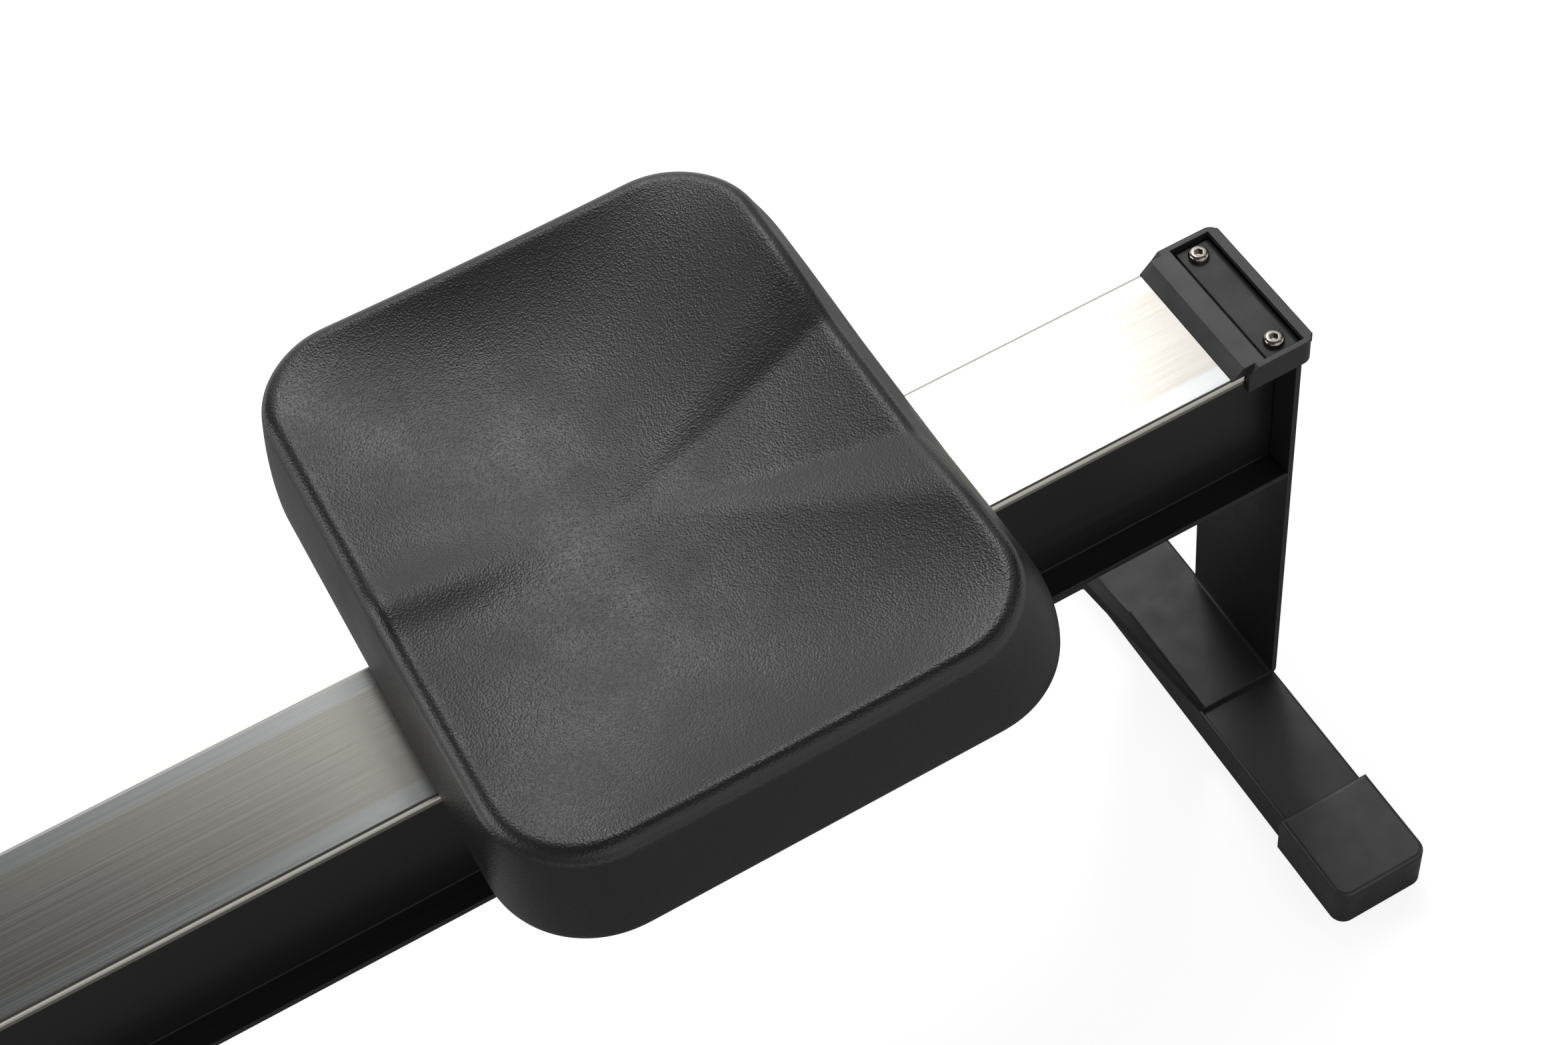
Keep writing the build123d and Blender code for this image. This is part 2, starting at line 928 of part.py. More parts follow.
def foot_place(distance, depth):
    """An X and Z place, so far up a footplate and so far behind its face."""
    lean = math.radians(foot_angle)
    x = x_rail_front - foot_heel_set - distance * math.cos(lean) - depth * math.sin(lean)
    z = foot_heel_height + distance * math.sin(lean) - depth * math.cos(lean)
    return (x, z)


def foot_tube_axes():
    depth = footplate_gauge + foot_tube_radius
    return [foot_place(foot_tube_low, depth), foot_place(foot_tube_high, depth)]


def side_plate_face():
    face = link(neck_node, node_radius, fan_axis, fan_eye_radius)
    face += link(neck_node, node_radius, drum_axis, drum_eye_radius)
    face += link(fan_axis, fan_eye_radius, foot_node, foot_eye_radius)
    face += link(drum_axis, drum_eye_radius, arm_axis, arm_eye_radius)
    face += link(drum_axis, drum_eye_radius, guide_axis, guide_eye_radius)
    return face


def foot_bolt_lines():
    return [
        (distance, side, offset)
        for distance in (foot_tube_low, foot_tube_high)
        for side in (-1, 1)
        for offset in (-foot_bolt_offset, foot_bolt_offset)
    ]


def foot_bolt(distance, side, offset, radius, start, end):
    """A rod square to a footplate, between two heights over its face."""
    plane = foot_plane(side)
    middle = Pos(distance, offset, (start + end) / 2)
    return plane.location * middle * Cylinder(radius, end - start)


def cage_post_axes():
    return [
        along(fan_axis, neck_node, cage_post_reach),
        along(fan_axis, foot_node, cage_post_reach),
    ]


def cover_post_axes():
    return [
        along(drum_axis, arm_axis, cover_post_reach),
        along(drum_axis, neck_node, cover_post_reach),
        along(fan_axis, neck_node, cover_nose_post),
    ]


def front_frame():
    half = neck_width / 2
    x_neck = x_rail_front - neck_length
    z_neck_top = z_rail_low + neck_height
    frame = box(x_neck, x_rail_front, -half, half, z_rail_low, z_neck_top)
    frame -= box(
        x_neck + neck_wall,
        x_rail_front - neck_wall,
        -half + neck_wall,
        half - neck_wall,
        z_rail_low + neck_wall,
        z_neck_top - neck_wall,
    )
    tongue_half = web_width / 2 - web_wall - fit
    tongue_low = z_rail_low + low_flange_gauge + tongue_clear
    tongue_top = z_overhang - tongue_clear
    tongue_end = x_rail_front + tongue_length
    frame += box(
        x_rail_front - tongue_root, tongue_end, -tongue_half, tongue_half, tongue_low, tongue_top
    )
    hollow = tongue_half - tongue_wall
    frame -= box(
        x_rail_front - tongue_root + tongue_wall,
        tongue_end + overrun,
        -hollow,
        hollow,
        tongue_low + tongue_wall,
        tongue_top - tongue_wall,
    )
    for step in (-1, 1):
        axis = (neck_node[0] + step * spacer_step / 2, neck_node[1])
        frame += rod_y(axis, spacer_radius, -plate_inset, plate_inset)
    tube_reach = footplate_offset + footplate_width / 2 - cap_corner
    for axis in foot_tube_axes():
        frame += rod_y(axis, foot_tube_radius, -tube_reach, tube_reach)
    plate = slab_y(side_plate_face(), plate_inset, plate_outer)
    plate += box(
        foot_node[0] - foot_eye_radius,
        foot_node[0] + foot_eye_radius,
        plate_inset,
        plate_outer,
        z_bar_top,
        foot_node[1],
    )
    for axis in (fan_axis, drum_axis):
        plate += rod_y(axis, boss_radius, boss_inner, boss_outer)
        plate -= rod_y(axis, housing_radius + bush_fit, boss_inner - overrun, boss_outer + overrun)
    for axis in (guide_axis, arm_axis):
        plate -= rod_y(axis, m8_radius + fit, plate_inset - overrun, plate_outer + overrun)
    for axis in cage_post_axes() + cover_post_axes():
        plate -= rod_y(axis, m5_radius + fit, plate_inset - overrun, plate_outer + overrun)
    for piece in both_sides(plate):
        frame += piece
    frame += box(
        foot_node[0] - foot_eye_radius,
        foot_node[0] + foot_eye_radius,
        -plate_outer,
        plate_outer,
        z_bar_top,
        z_bar_top + foot_plate_gauge,
    )
    post = rim_point(drum_axis, spring_outer_radius() + spring_post_radius, math.radians(90))
    frame += rod_y(post, spring_post_radius, plate_inset, spring_far())
    for axis in joint_bolt_axes():
        frame -= rod_y(axis, m8_radius + fit, -half, half)
    for distance, side, offset in foot_bolt_lines():
        low = -footplate_gauge - 2 * foot_tube_radius - overrun
        frame -= foot_bolt(distance, side, offset, m8_radius + fit, low, 0)
    return frame


def frame_bolts():
    bolts = []
    web_half = web_width / 2
    for axis in joint_bolt_axes():
        end = web_half + m8_head_height
        bolt = rod_y(axis, m8_radius, -end, end)
        for side in (-1, 1):
            bolt += hex_y(axis, m8_head_radius, side * web_half, side * end)
        bolts.append(bolt)
    guide_end = plate_outer + m8_head_height
    rod = rod_y(guide_axis, m8_radius, -guide_end, guide_end)
    for side in (-1, 1):
        rod += hex_y(guide_axis, m8_head_radius, side * plate_outer, side * guide_end)
    bolts.append(rod)
    for side in (-1, 1):
        pivot = rod_y(arm_axis, m8_radius, side * arm_bolt_inner(), side * guide_end)
        pivot += hex_y(arm_axis, m8_head_radius, side * plate_outer, side * guide_end)
        bolts.append(pivot)
        inner, outer = wheel_ears()
        axle_start = inner - ear_gauge - m8_head_height
        axle_end = outer + ear_gauge + m8_head_height
        axle = rod_y(wheel_axis, m8_radius, side * axle_start, side * axle_end)
        axle += hex_y(
            wheel_axis, m8_head_radius, side * axle_start, side * (inner - ear_gauge)
        )
        axle += hex_y(wheel_axis, m8_head_radius, side * (outer + ear_gauge), side * axle_end)
        bolts.append(axle)
    for distance, side, offset in foot_bolt_lines():
        seat = -footplate_gauge / 2
        low = -footplate_gauge - 2 * foot_tube_radius
        bolt = foot_bolt(distance, side, offset, m8_radius, low - m8_head_height, seat)
        bolt += foot_bolt(
            distance, side, offset, m8_head_radius, seat, seat + m8_head_height
        )
        bolt += foot_bolt(
            distance, side, offset, m8_head_radius, low - m8_head_height, low
        )
        bolts.append(bolt)
    return bolts


def wheel_ears():
    """The Y places of one wheel's two faces, with its side play."""
    middle = wheel_track / 2
    return middle - wheel_width / 2 - wheel_gap, middle + wheel_width / 2 + wheel_gap


def front_foot_bar():
    bar = foot_bar(x_front_foot, front_foot_span)
    inner, outer = wheel_ears()
    face = x_front_foot - bar_width / 2
    arm = link(wheel_axis, ear_radius, (face, z_bar_top - ear_radius), ear_radius - overrun)
    arm -= make_face(
        Polyline(
            (face, 0),
            (face + 2 * ear_radius, 0),
            (face + 2 * ear_radius, z_bar_top + ear_radius),
            (face, z_bar_top + ear_radius),
            close=True,
        )
    )
    for side in (-1, 1):
        for start, end in ((inner - ear_gauge, inner), (outer, outer + ear_gauge)):
            ear = slab_y(arm, min(side * start, side * end), max(side * start, side * end))
            near = side * (start - overrun)
            far = side * (end + overrun)
            ear -= rod_y(wheel_axis, m8_radius + bush_fit, near, far)
            bar += ear
    return bar


def transport_wheel(side):
    half = wheel_width / 2
    middle = side * wheel_track / 2
    wheel = rod_y(wheel_axis, wheel_radius, middle - half, middle + half)
    wheel = fillet(wheel.edges().filter_by(GeomType.CIRCLE), wheel_tread)
    dish = wheel_radius - ear_radius / 2
    for face in (-1, 1):
        start = middle + face * half
        groove = rod_y(wheel_axis, dish, start - face * half / 2, start + face * overrun)
        groove -= rod_y(wheel_axis, ear_radius, start - face * half, start + face * wheel_width)
        wheel -= groove
    wheel -= rod_y(wheel_axis, m8_radius + running_fit, middle - wheel_width, middle + wheel_width)
    return wheel


# Drive

def shaft_bearings():
    races = []
    start = boss_inner + (boss_depth - housing_width) / 2
    for axis in (fan_axis, drum_axis):
        race = rod_y(axis, housing_radius, start, start + housing_width)
        bore = shaft_radius + running_fit
        race -= rod_y(axis, bore, start - overrun, start + housing_width + overrun)
        races += both_sides(race)
    return races


def fan_shaft():
    return rod_y(fan_axis, shaft_radius, -pulley_outer - shaft_tail, boss_outer)


def drum_shaft():
    return rod_y(drum_axis, shaft_radius, -pulley_outer - shaft_tail, spring_far() + shaft_tail)


def strap_drum():
    half = drum_width / 2
    outer = half + drum_flange_gauge
    drum = rod_y(drum_axis, drum_radius, -half, half)
    for side in (-1, 1):
        drum += rod_y(drum_axis, drum_flange_radius, side * half, side * outer)
    drum -= rod_y(drum_axis, shaft_radius + bush_fit, -outer - overrun, outer + overrun)
    return drum


def drive_pulley():
    middle = -(pulley_inner + pulley_outer) / 2
    half_web = drive_pulley_web / 2
    wheel = rod_y(drum_axis, drive_pulley_radius, -pulley_outer, -pulley_inner)
    dish = rod_y(
        drum_axis,
        drive_pulley_radius - drive_pulley_rim,
        -pulley_outer - overrun,
        -pulley_inner + overrun,
    )
    dish -= rod_y(drum_axis, drive_pulley_radius, middle - half_web, middle + half_web)
    dish -= rod_y(drum_axis, drive_pulley_hub, -pulley_outer - overrun, -pulley_inner + overrun)
    wheel -= dish
    ring = (drive_pulley_radius - drive_pulley_rim + drive_pulley_hub) / 2
    for index in range(drive_pulley_holes):
        centre = rim_point(drum_axis, ring, 2 * math.pi * index / drive_pulley_holes)
        wheel -= rod_y(centre, drive_pulley_hole, -pulley_outer, -pulley_inner)
    wheel -= rod_y(
        drum_axis, one_way_radius + bush_fit, -pulley_outer - overrun, -pulley_inner + overrun
    )
    return wheel


def one_way_bearing():
    race = rod_y(drum_axis, one_way_radius, -pulley_outer, -pulley_inner)
    race -= rod_y(
        drum_axis, shaft_radius + running_fit, -pulley_outer - overrun, -pulley_inner + overrun
    )
    return race


def fan_pulley():
    wheel = rod_y(fan_axis, fan_pulley_radius, -pulley_outer, -pulley_inner)
    wheel -= rod_y(
        fan_axis, shaft_radius + bush_fit, -pulley_outer - overrun, -pulley_inner + overrun
    )
    return wheel


def drive_belt():
    middle = -(pulley_inner + pulley_outer) / 2
    half = belt_width / 2
    big = drive_pulley_radius + slide_fit
    small = fan_pulley_radius + slide_fit
    outer = link(drum_axis, big + belt_gauge, fan_axis, small + belt_gauge)
    loop = slab_y(outer, middle - half, middle + half)
    loop -= slab_y(link(drum_axis, big, fan_axis, small), middle - belt_width, middle + belt_width)
    return loop


def spring_inner_radius():
    return shaft_radius + slide_fit


def spring_outer_radius():
    return spring_inner_radius() + spring_pitch * spring_turns + spring_gauge


def spring_far():
    return plate_outer + spring_set + spring_width


def recoil_spring():
    """A flat spiral made of half circles about two centres in turn."""
    step = spring_pitch / 2
    forward = []
    back = []
    radius = spring_inner_radius() + spring_gauge
    for index in range(2 * spring_turns):
        side = 1 if index % 2 == 0 else -1
        centre = (drum_axis[0] - (0 if index % 2 == 0 else step), drum_axis[1])
        for edges, arc_radius in ((forward, radius), (back, radius - spring_gauge)):
            edges.append(
                ThreePointArc(
                    rim_point(centre, arc_radius, math.pi if side > 0 else 0),
                    rim_point(centre, arc_radius, side * math.pi / 2),
                    rim_point(centre, arc_radius, 0 if side > 0 else math.pi),
                )
            )
        radius += step
    ends = [Line(forward[0] @ 0, back[0] @ 0), Line(forward[-1] @ 1, back[-1] @ 1)]
    face = make_face(forward + back + ends)
    return slab_y(face, plate_outer + spring_set, spring_far())


# Fan and cage

def fan_wheel():
    hub = rod_y(fan_axis, fan_hub_radius, -fan_hub_half, fan_hub_half)
    half_disc = fan_disc_gauge / 2
    hub += rod_y(fan_axis, fan_disc_radius, -half_disc, half_disc)
    blade = box(
        fan_blade_root,
        fan_radius,
        -fan_half_width,
        fan_half_width,
        -fan_blade_gauge / 2,
        fan_blade_gauge / 2,
    )
    lean = Pos(fan_blade_root, 0, 0) * Rot(0, fan_blade_lean, 0) * Pos(-fan_blade_root, 0, 0)
    blade = lean * blade
    for index in range(fan_blades):
        turn = Rot(0, 360 * index / fan_blades, 0)
        hub += Pos(fan_axis[0], 0, fan_axis[1]) * turn * blade
    hub -= rod_y(fan_axis, shaft_radius + bush_fit, -fan_half_width, fan_half_width)
    return hub


def inlet_faces(start_angle):
    pitch = 360 / inlet_count
    middle = (inlet_inner + inlet_outer) / 2
    rings = (
        (inlet_inner, middle - inlet_rib / 2),
        (middle + inlet_rib / 2, inlet_outer),
    )
    faces = []
    for index in range(inlet_count):
        start = start_angle + pitch * index
        for inner, outer in rings:
            faces.append(sector(fan_axis, inner, outer, start, start + pitch * inlet_open_share))
    return faces


def fan_cage_half():
    """The half of the cage on the +Y side."""
    side = cage_half_width
    shell = rod_y(fan_axis, cage_radius, 0, side)
    outer_rim = shell.edges().filter_by(GeomType.CIRCLE).sort_by(Axis.Y)[-1]
    shell = fillet(outer_rim, cage_edge)
    hollow = rod_y(fan_axis, cage_radius - cage_wall, -overrun, side - cage_wall)
    shell -= hollow
    cutters = [slab_y(face, side - 2 * cage_wall, side + overrun) for face in inlet_faces(0)]
    pitch = 360 / outlet_count
    width = 2 * math.pi * cage_radius / outlet_count * outlet_open_share
    for index in range(outlet_count):
        slot = box(
            cage_radius - 2 * cage_wall,
            cage_radius + overrun,
            outlet_rib,
            side - cage_edge - outlet_rib,
            -width / 2,
            width / 2,
        )
        cutters.append(Pos(fan_axis[0], 0, fan_axis[1]) * Rot(0, pitch * index, 0) * slot)
    cutters.append(rod_y(fan_axis, cage_eye, 0, side + overrun))
    shell = shell - cutters
    for axis in cage_post_axes():
        shell += rod_y(axis, cage_post_radius, side - cage_wall / 2, plate_inset)
        shell -= rod_y(axis, m5_radius + fit, side - cage_wall - overrun, plate_inset + overrun)
    return shell


def damper_lever():
    near = cage_half_width + damper_gap
    far = near + damper_gauge
    inner = inlet_inner - damper_margin
    outer = inlet_outer + damper_margin
    ring = rod_y(fan_axis, outer, near, far)
    ring -= rod_y(fan_axis, inner, near - overrun, far + overrun)
    shut = [slab_y(face, near - overrun, far + overrun) for face in inlet_faces(0)]
    ring = ring - shut
    angle = math.radians(damper_handle_angle)
    start = rim_point(fan_axis, outer - damper_handle_width / 2, angle)
    end = rim_point(fan_axis, damper_handle_reach, angle)
    ring += slab_y(
        link(start, damper_handle_width / 2, end, damper_grip_radius), near, far
    )
    ring += rod_y(end, damper_grip_radius, far, far + damper_grip_height)
    return ring


# Covers

def drive_cover():
    """The cover on the +Y side, a shell that is open towards the middle."""
    inner_radius = cover_radius - cover_wall
    inner_nose = cover_nose_radius - cover_wall
    start = plate_outer + fit
    outline = link(drum_axis, cover_radius, fan_axis, cover_nose_radius)
    outer = slab_y(outline, start, cover_half_width)
    top_face = outer.faces().sort_by(Axis.Y)[-1]
    outer = fillet(top_face.edges(), cover_edge)
    outer += rod_y(drum_axis, cover_radius, 0, start)
    inside = link(drum_axis, inner_radius, fan_axis, inner_nose)
    hollow = slab_y(inside, start - overrun, cover_half_width - cover_wall)
    hollow += rod_y(drum_axis, inner_radius, -overrun, start)
    shell = outer - hollow
    shell -= rod_y(fan_axis, cage_radius + cover_wall, -overrun, start - fit / 2)
    room = offset(side_plate_face(), amount=slide_fit)
    shell -= slab_y(room, plate_inset - slide_fit, plate_outer + slide_fit)
    for axis in (fan_axis, drum_axis):
        shell -= rod_y(axis, boss_radius + slide_fit, boss_inner - fit, boss_outer)
    mouth = holder_mouth / 2
    shell -= box(
        x_drum,
        x_drum + cover_radius + overrun,
        -overrun,
        strap_width / 2 + cover_wall,
        strap_height - mouth,
        strap_height + mouth,
    )
    for axis in cover_post_axes():
        post_end = cover_half_width - cover_wall / 2
        shell += rod_y(axis, cover_post_radius, plate_outer + fit, post_end)
        shell -= rod_y(axis, m5_radius + fit, plate_outer - overrun, cover_half_width + overrun)
    return shell


def casing_screws():
    screws = []
    for axis in cover_post_axes():
        screw = rod_y(axis, m5_radius, plate_inset, cover_half_width)
        screw += rod_y(axis, m5_head_radius, cover_half_width, cover_half_width + m5_head_height)
        screws += both_sides(screw)
    for axis in cage_post_axes():
        screw = rod_y(axis, m5_radius, cage_half_width, plate_outer)
        screw += rod_y(axis, m5_head_radius, plate_outer, plate_outer + m5_head_height)
        screws += both_sides(screw)
    return screws


# Strap and handle

def drive_strap():
    """The strap's lower face, from the drum over the guide roller to the handle."""
    lay = drum_radius + slide_fit
    over = guide_radius + slide_fit
    lean, spread = tangent_angles(drum_axis, lay, guide_axis, over)
    start = rim_point(drum_axis, lay, lean + spread)
    touch = rim_point(guide_axis, over, lean + spread)
    low = strap_height - strap_gauge / 2
    rise = (low - start[1]) / (touch[1] - start[1])
    corner = (start[0] + (touch[0] - start[0]) * rise, low)
    end = (x_handle - handle_radius - lug_reach, low)
    path = [end, corner, start]
    half = strap_width / 2
    return slab_y(bent_face(path, strap_gauge, over), -half, half)


def guide_roller():
    half = guide_width / 2
    wheel = rod_y(guide_axis, guide_radius, -half, half)
    wheel -= rod_y(guide_axis, m8_radius + running_fit, -half - overrun, half + overrun)
    return wheel


def handle_path():
    """Half of the handle's centre line, from the middle to one end, in X and Y."""
    sweep = math.radians(handle_sweep)
    bent = (handle_span - handle_straight) / 2
    return [
        (0, 0),
        (0, handle_straight / 2),
        (bent * math.sin(sweep), handle_straight / 2 + bent * math.cos(sweep)),
    ]


def handle_bar():
    half = handle_path()
    line = [(x, -y) for x, y in half[:0:-1]] + half[1:]
    centre = Pos(x_handle, 0, strap_height)
    path = FilletPolyline(*line, radius=handle_bend)
    section = Plane(path @ 0, z_dir=path % 0) * Circle(handle_radius)
    bar = centre * sweep(section, path=path.wire())
    bore = Plane(path @ 0, z_dir=path % 0) * Circle(handle_radius - handle_wall)
    bar -= centre * sweep(bore, path=path.wire())
    lug_half = lug_width / 2
    start = x_handle - handle_radius - lug_reach
    mouth = (lug_width - strap_width) / 2
    lug = box(
        start,
        x_handle - handle_radius + handle_wall / 2,
        -lug_half,
        lug_half,
        strap_height - holder_mouth / 2 + slide_fit,
        strap_height + holder_mouth / 2 - slide_fit,
    )
    bar += fillet(lug.edges().filter_by(Axis.Z).group_by(Axis.X)[0], mouth / 2)
    return bar


def handle_grips():
    grips = []
    sweep_angle = handle_sweep
    end = handle_path()[-1]
    for side in (-1, 1):
        centre = Pos(x_handle + end[0], side * end[1], strap_height)
        turn = Rot(0, 0, -side * sweep_angle) * Rot(-side * 90, 0, 0)
        place = centre * turn * Pos(0, 0, -grip_length / 2 + cap_wall)
        grip = Cylinder(grip_radius, grip_length)
        grip = fillet(grip.edges().filter_by(GeomType.CIRCLE), grip_edge)
        grip -= Pos(0, 0, -cap_wall) * Cylinder(handle_radius + bush_fit, grip_length)
        grips.append(place * grip)
    return grips


def handle_holder():
    half = holder_width / 2
    back = x_holder - holder_depth
    rise = holder_height / 2
    body = box(back, x_holder, -half, half, strap_height - rise, strap_height + rise)
    body = fillet(body.edges().filter_by(Axis.X), holder_edge)
    arm_top = strap_height - handle_radius - slide_fit
    for side in (-1, 1):
        arm = box(
            back,
            x_holder + holder_arm_reach,
            min(side * half, side * (half - holder_arm)),
            max(side * half, side * (half - holder_arm)),
            arm_top - holder_arm_gauge,
            arm_top,
        )
        body += arm
    mouth = holder_mouth / 2
    room = lug_width / 2 + slide_fit
    body -= box(
        back - overrun, x_holder + overrun, -room, room, strap_height - mouth, strap_height + mouth
    )
    body -= rod_y(drum_axis, cover_radius + bush_fit, -half - overrun, half + overrun)
    return body


# Footplates

def footplate(side):
    plane = foot_plane(side)
    face = Pos(footplate_length / 2, 0, 0) * RectangleRounded(
        footplate_length, footplate_width, footplate_corner
    )
    plate = extrude(face, amount=-footplate_gauge)
    for distance in (foot_tube_low, foot_tube_high):
        plate += box(
            distance - saddle_length / 2,
            distance + saddle_length / 2,
            -footplate_width / 3,
            footplate_width / 3,
            -footplate_gauge - saddle_depth,
            -footplate_gauge,
        )
        plate -= rod_y(
            (distance, -footplate_gauge - foot_tube_radius),
            foot_tube_radius + bush_fit,
            -footplate_width,
            footplate_width,
        )
        for offset_y in (-foot_bolt_offset, foot_bolt_offset):
            plate -= rod_z(distance, offset_y, m8_radius + fit, -footplate_length, overrun)
            plate -= rod_z(
                distance, offset_y, m8_head_radius + fit, -footplate_gauge / 2, overrun
            )
    for index in range(ridge_count):
        start = heel_length + heel_travel + ridge_gap + ridge_pitch * index
        middle = start + ridge_gauge / 2
        if abs(middle - foot_strap_set) > foot_strap_width / 2 + ridge_gap:
            plate += box(
                start,
                start + ridge_gauge,
                -footplate_width / 4,
                footplate_width / 4,
                0,
                ridge_height,
            )
    slot_half = foot_strap_width / 2 + fit
    for turn in (-1, 1):
        near = foot_strap_half - fit
        far = foot_strap_half + foot_strap_gauge + fit
        plate -= box(
            foot_strap_set - slot_half,
            foot_strap_set + slot_half,
            min(turn * near, turn * far),
            max(turn * near, turn * far),
            -footplate_gauge - overrun,
            overrun,
        )
    keel = heel_keel_width / 2 + slide_fit
    plate -= box(
        heel_keel_start() - slide_fit,
        heel_keel_start() + heel_keel_length + heel_travel + slide_fit,
        -keel,
        keel,
        -heel_slot_depth,
        overrun,
    )
    return plane.location * plate


def heel_keel_start():
    return heel_length / 4


def heel_cup(side):
    plane = foot_plane(side)
    low = slide_fit
    half = heel_width / 2
    base = box(0, heel_length, -half, half, low, low + heel_gauge)
    wall = box(0, heel_side_length, -half, half, low, heel_height)
    wall = fillet(wall.edges().filter_by(Axis.Z).group_by(Axis.X)[0], footplate_corner)
    room = box(
        heel_wall,
        heel_side_length + overrun,
        -half + heel_wall,
        half - heel_wall,
        low + heel_gauge,
        heel_height + overrun,
    )
    room = fillet(room.edges().filter_by(Axis.Z).group_by(Axis.X)[0], footplate_corner - heel_wall)
    cup = fillet(base.edges().filter_by(Axis.Z).group_by(Axis.X)[0], footplate_corner)
    cup = cup + wall - room
    keel = heel_keel_width / 2
    cup += box(
        heel_keel_start(),
        heel_keel_start() + heel_keel_length,
        -keel,
        keel,
        -heel_keel_depth,
        low,
    )
    return plane.location * cup


def foot_strap_path():
    """The strap's inner line over the instep, across and out of the footplate."""
    return [
        (foot_strap_half, -foot_strap_tail),
        (foot_strap_half, foot_strap_shoulder),
        (foot_strap_crown, foot_strap_height),
        (-foot_strap_crown, foot_strap_height),
        (-foot_strap_half, foot_strap_shoulder),
        (-foot_strap_half, -foot_strap_tail),
    ]


def foot_straps():
    straps = []
    for side in (-1, 1):
        plane = foot_plane(side)
        face = bent_face(foot_strap_path(), foot_strap_gauge, foot_strap_bend)
        across = Plane((foot_strap_set, 0, 0), x_dir=(0, 1, 0), z_dir=(1, 0, 0))
        band = extrude(across * face, amount=foot_strap_width / 2, both=True)
        straps.append(plane.location * band)
    return straps


def foot_buckles():
    buckles = []
    low = foot_strap_height - buckle_gauge / 3
    for side in (-1, 1):
        plane = foot_plane(side)
        frame = box(
            foot_strap_set - buckle_length / 2,
            foot_strap_set + buckle_length / 2,
            -buckle_width / 2,
            buckle_width / 2,
            low,
            low + buckle_gauge,
        )
        frame = fillet(frame.edges().filter_by(Axis.Z), cap_wall)
        frame -= box(
            foot_strap_set - foot_strap_width / 2 - fit,
            foot_strap_set + foot_strap_width / 2 + fit,
            -buckle_width,
            buckle_width,
            foot_strap_height - fit,
            foot_strap_height + foot_strap_gauge + fit,
        )
        buckles.append(plane.location * frame)
    return buckles


# Monitor

def arm_bolt_inner():
    return plate_inset - 4 * m8_radius


def monitor_arm():
    hub_half = plate_inset - slide_fit
    arm = rod_y(arm_axis, arm_hub_radius, -hub_half, hub_half)
    reach = math.dist(arm_axis, tilt_axis)
    lean = math.degrees(math.atan2(arm_lean, arm_rise))
    tube = Pos(arm_axis[0], 0, arm_axis[1]) * Rot(0, lean, 0)
    arm += tube * Pos(0, 0, reach / 2) * Cylinder(arm_tube_radius, reach)
    bore_length = reach - 2 * arm_hub_radius
    arm -= tube * Pos(0, 0, reach / 2) * Cylinder(arm_tube_radius - arm_tube_wall, bore_length)
    arm += rod_y(tilt_axis, arm_hub_radius, -tilt_half + slide_fit, tilt_half - slide_fit)
    inner = arm_bolt_inner() - slide_fit
    for side in (-1, 1):
        arm -= rod_y(arm_axis, m8_radius + running_fit, side * inner, side * plate_inset)
        clear = side * (tilt_half - slide_fit)
        arm -= rod_y(tilt_axis, arm_hub_radius + overrun, clear, side * 2 * arm_hub_radius)
    arm -= rod_y(tilt_axis, tilt_pin_radius + running_fit, -tilt_half, tilt_half)
    return arm


def monitor_plane():
    """The plane of the casing's front edge, with X across, Y up and Z at the rower."""
    lean = math.radians(monitor_angle)
    reach = tilt_back + monitor_depth
    origin = (
        tilt_axis[0] + reach * math.cos(lean),
        0,
        tilt_axis[1] + reach * math.sin(lean),
    )
    return Plane(origin, x_dir=(0, 1, 0), z_dir=(math.cos(lean), 0, math.sin(lean)))


def monitor_back():
    outline = RectangleRounded(monitor_width, monitor_height, monitor_corner)
    case = extrude(outline, amount=-monitor_depth)
    low_face = case.faces().sort_by(Axis.Z)[0]
    case = fillet(low_face.edges(), cover_edge)
    inner = RectangleRounded(
        monitor_width - 2 * monitor_wall,
        monitor_height - 2 * monitor_wall,
        monitor_corner - monitor_wall,
    )
    case -= extrude(inner, amount=-(monitor_depth - monitor_wall))
    pin_z = -monitor_depth - tilt_back
    ear_radius_here = tilt_pin_radius + tilt_ear_gauge
    for side in (-1, 1):
        near = side * tilt_half
        far = side * (tilt_half + tilt_ear_gauge)
        ear = box(
            min(near, far),
            max(near, far),
            -ear_radius_here,
            ear_radius_here,
            pin_z,
            -monitor_depth + monitor_wall / 2,
        )
        eye = Pos((near + far) / 2, 0, pin_z) * Rot(0, 90, 0) * Cylinder(
            ear_radius_here, tilt_ear_gauge
        )
        case += ear + eye
    bore = Pos(0, 0, pin_z) * Rot(0, 90, 0) * Cylinder(tilt_pin_radius + bush_fit, monitor_width)
    case -= bore
    return monitor_plane().location * case


def monitor_pin():
    end = tilt_half + tilt_ear_gauge
    pin = rod_y(tilt_axis, tilt_pin_radius, -end, end)
    for side in (-1, 1):
        pin += rod_y(tilt_axis, tilt_pin_radius + overrun, side * end, side * (end + overrun))
    return pin


def key_places():
    return [(index * key_pitch, -key_down) for index in (-1, 0, 1)]


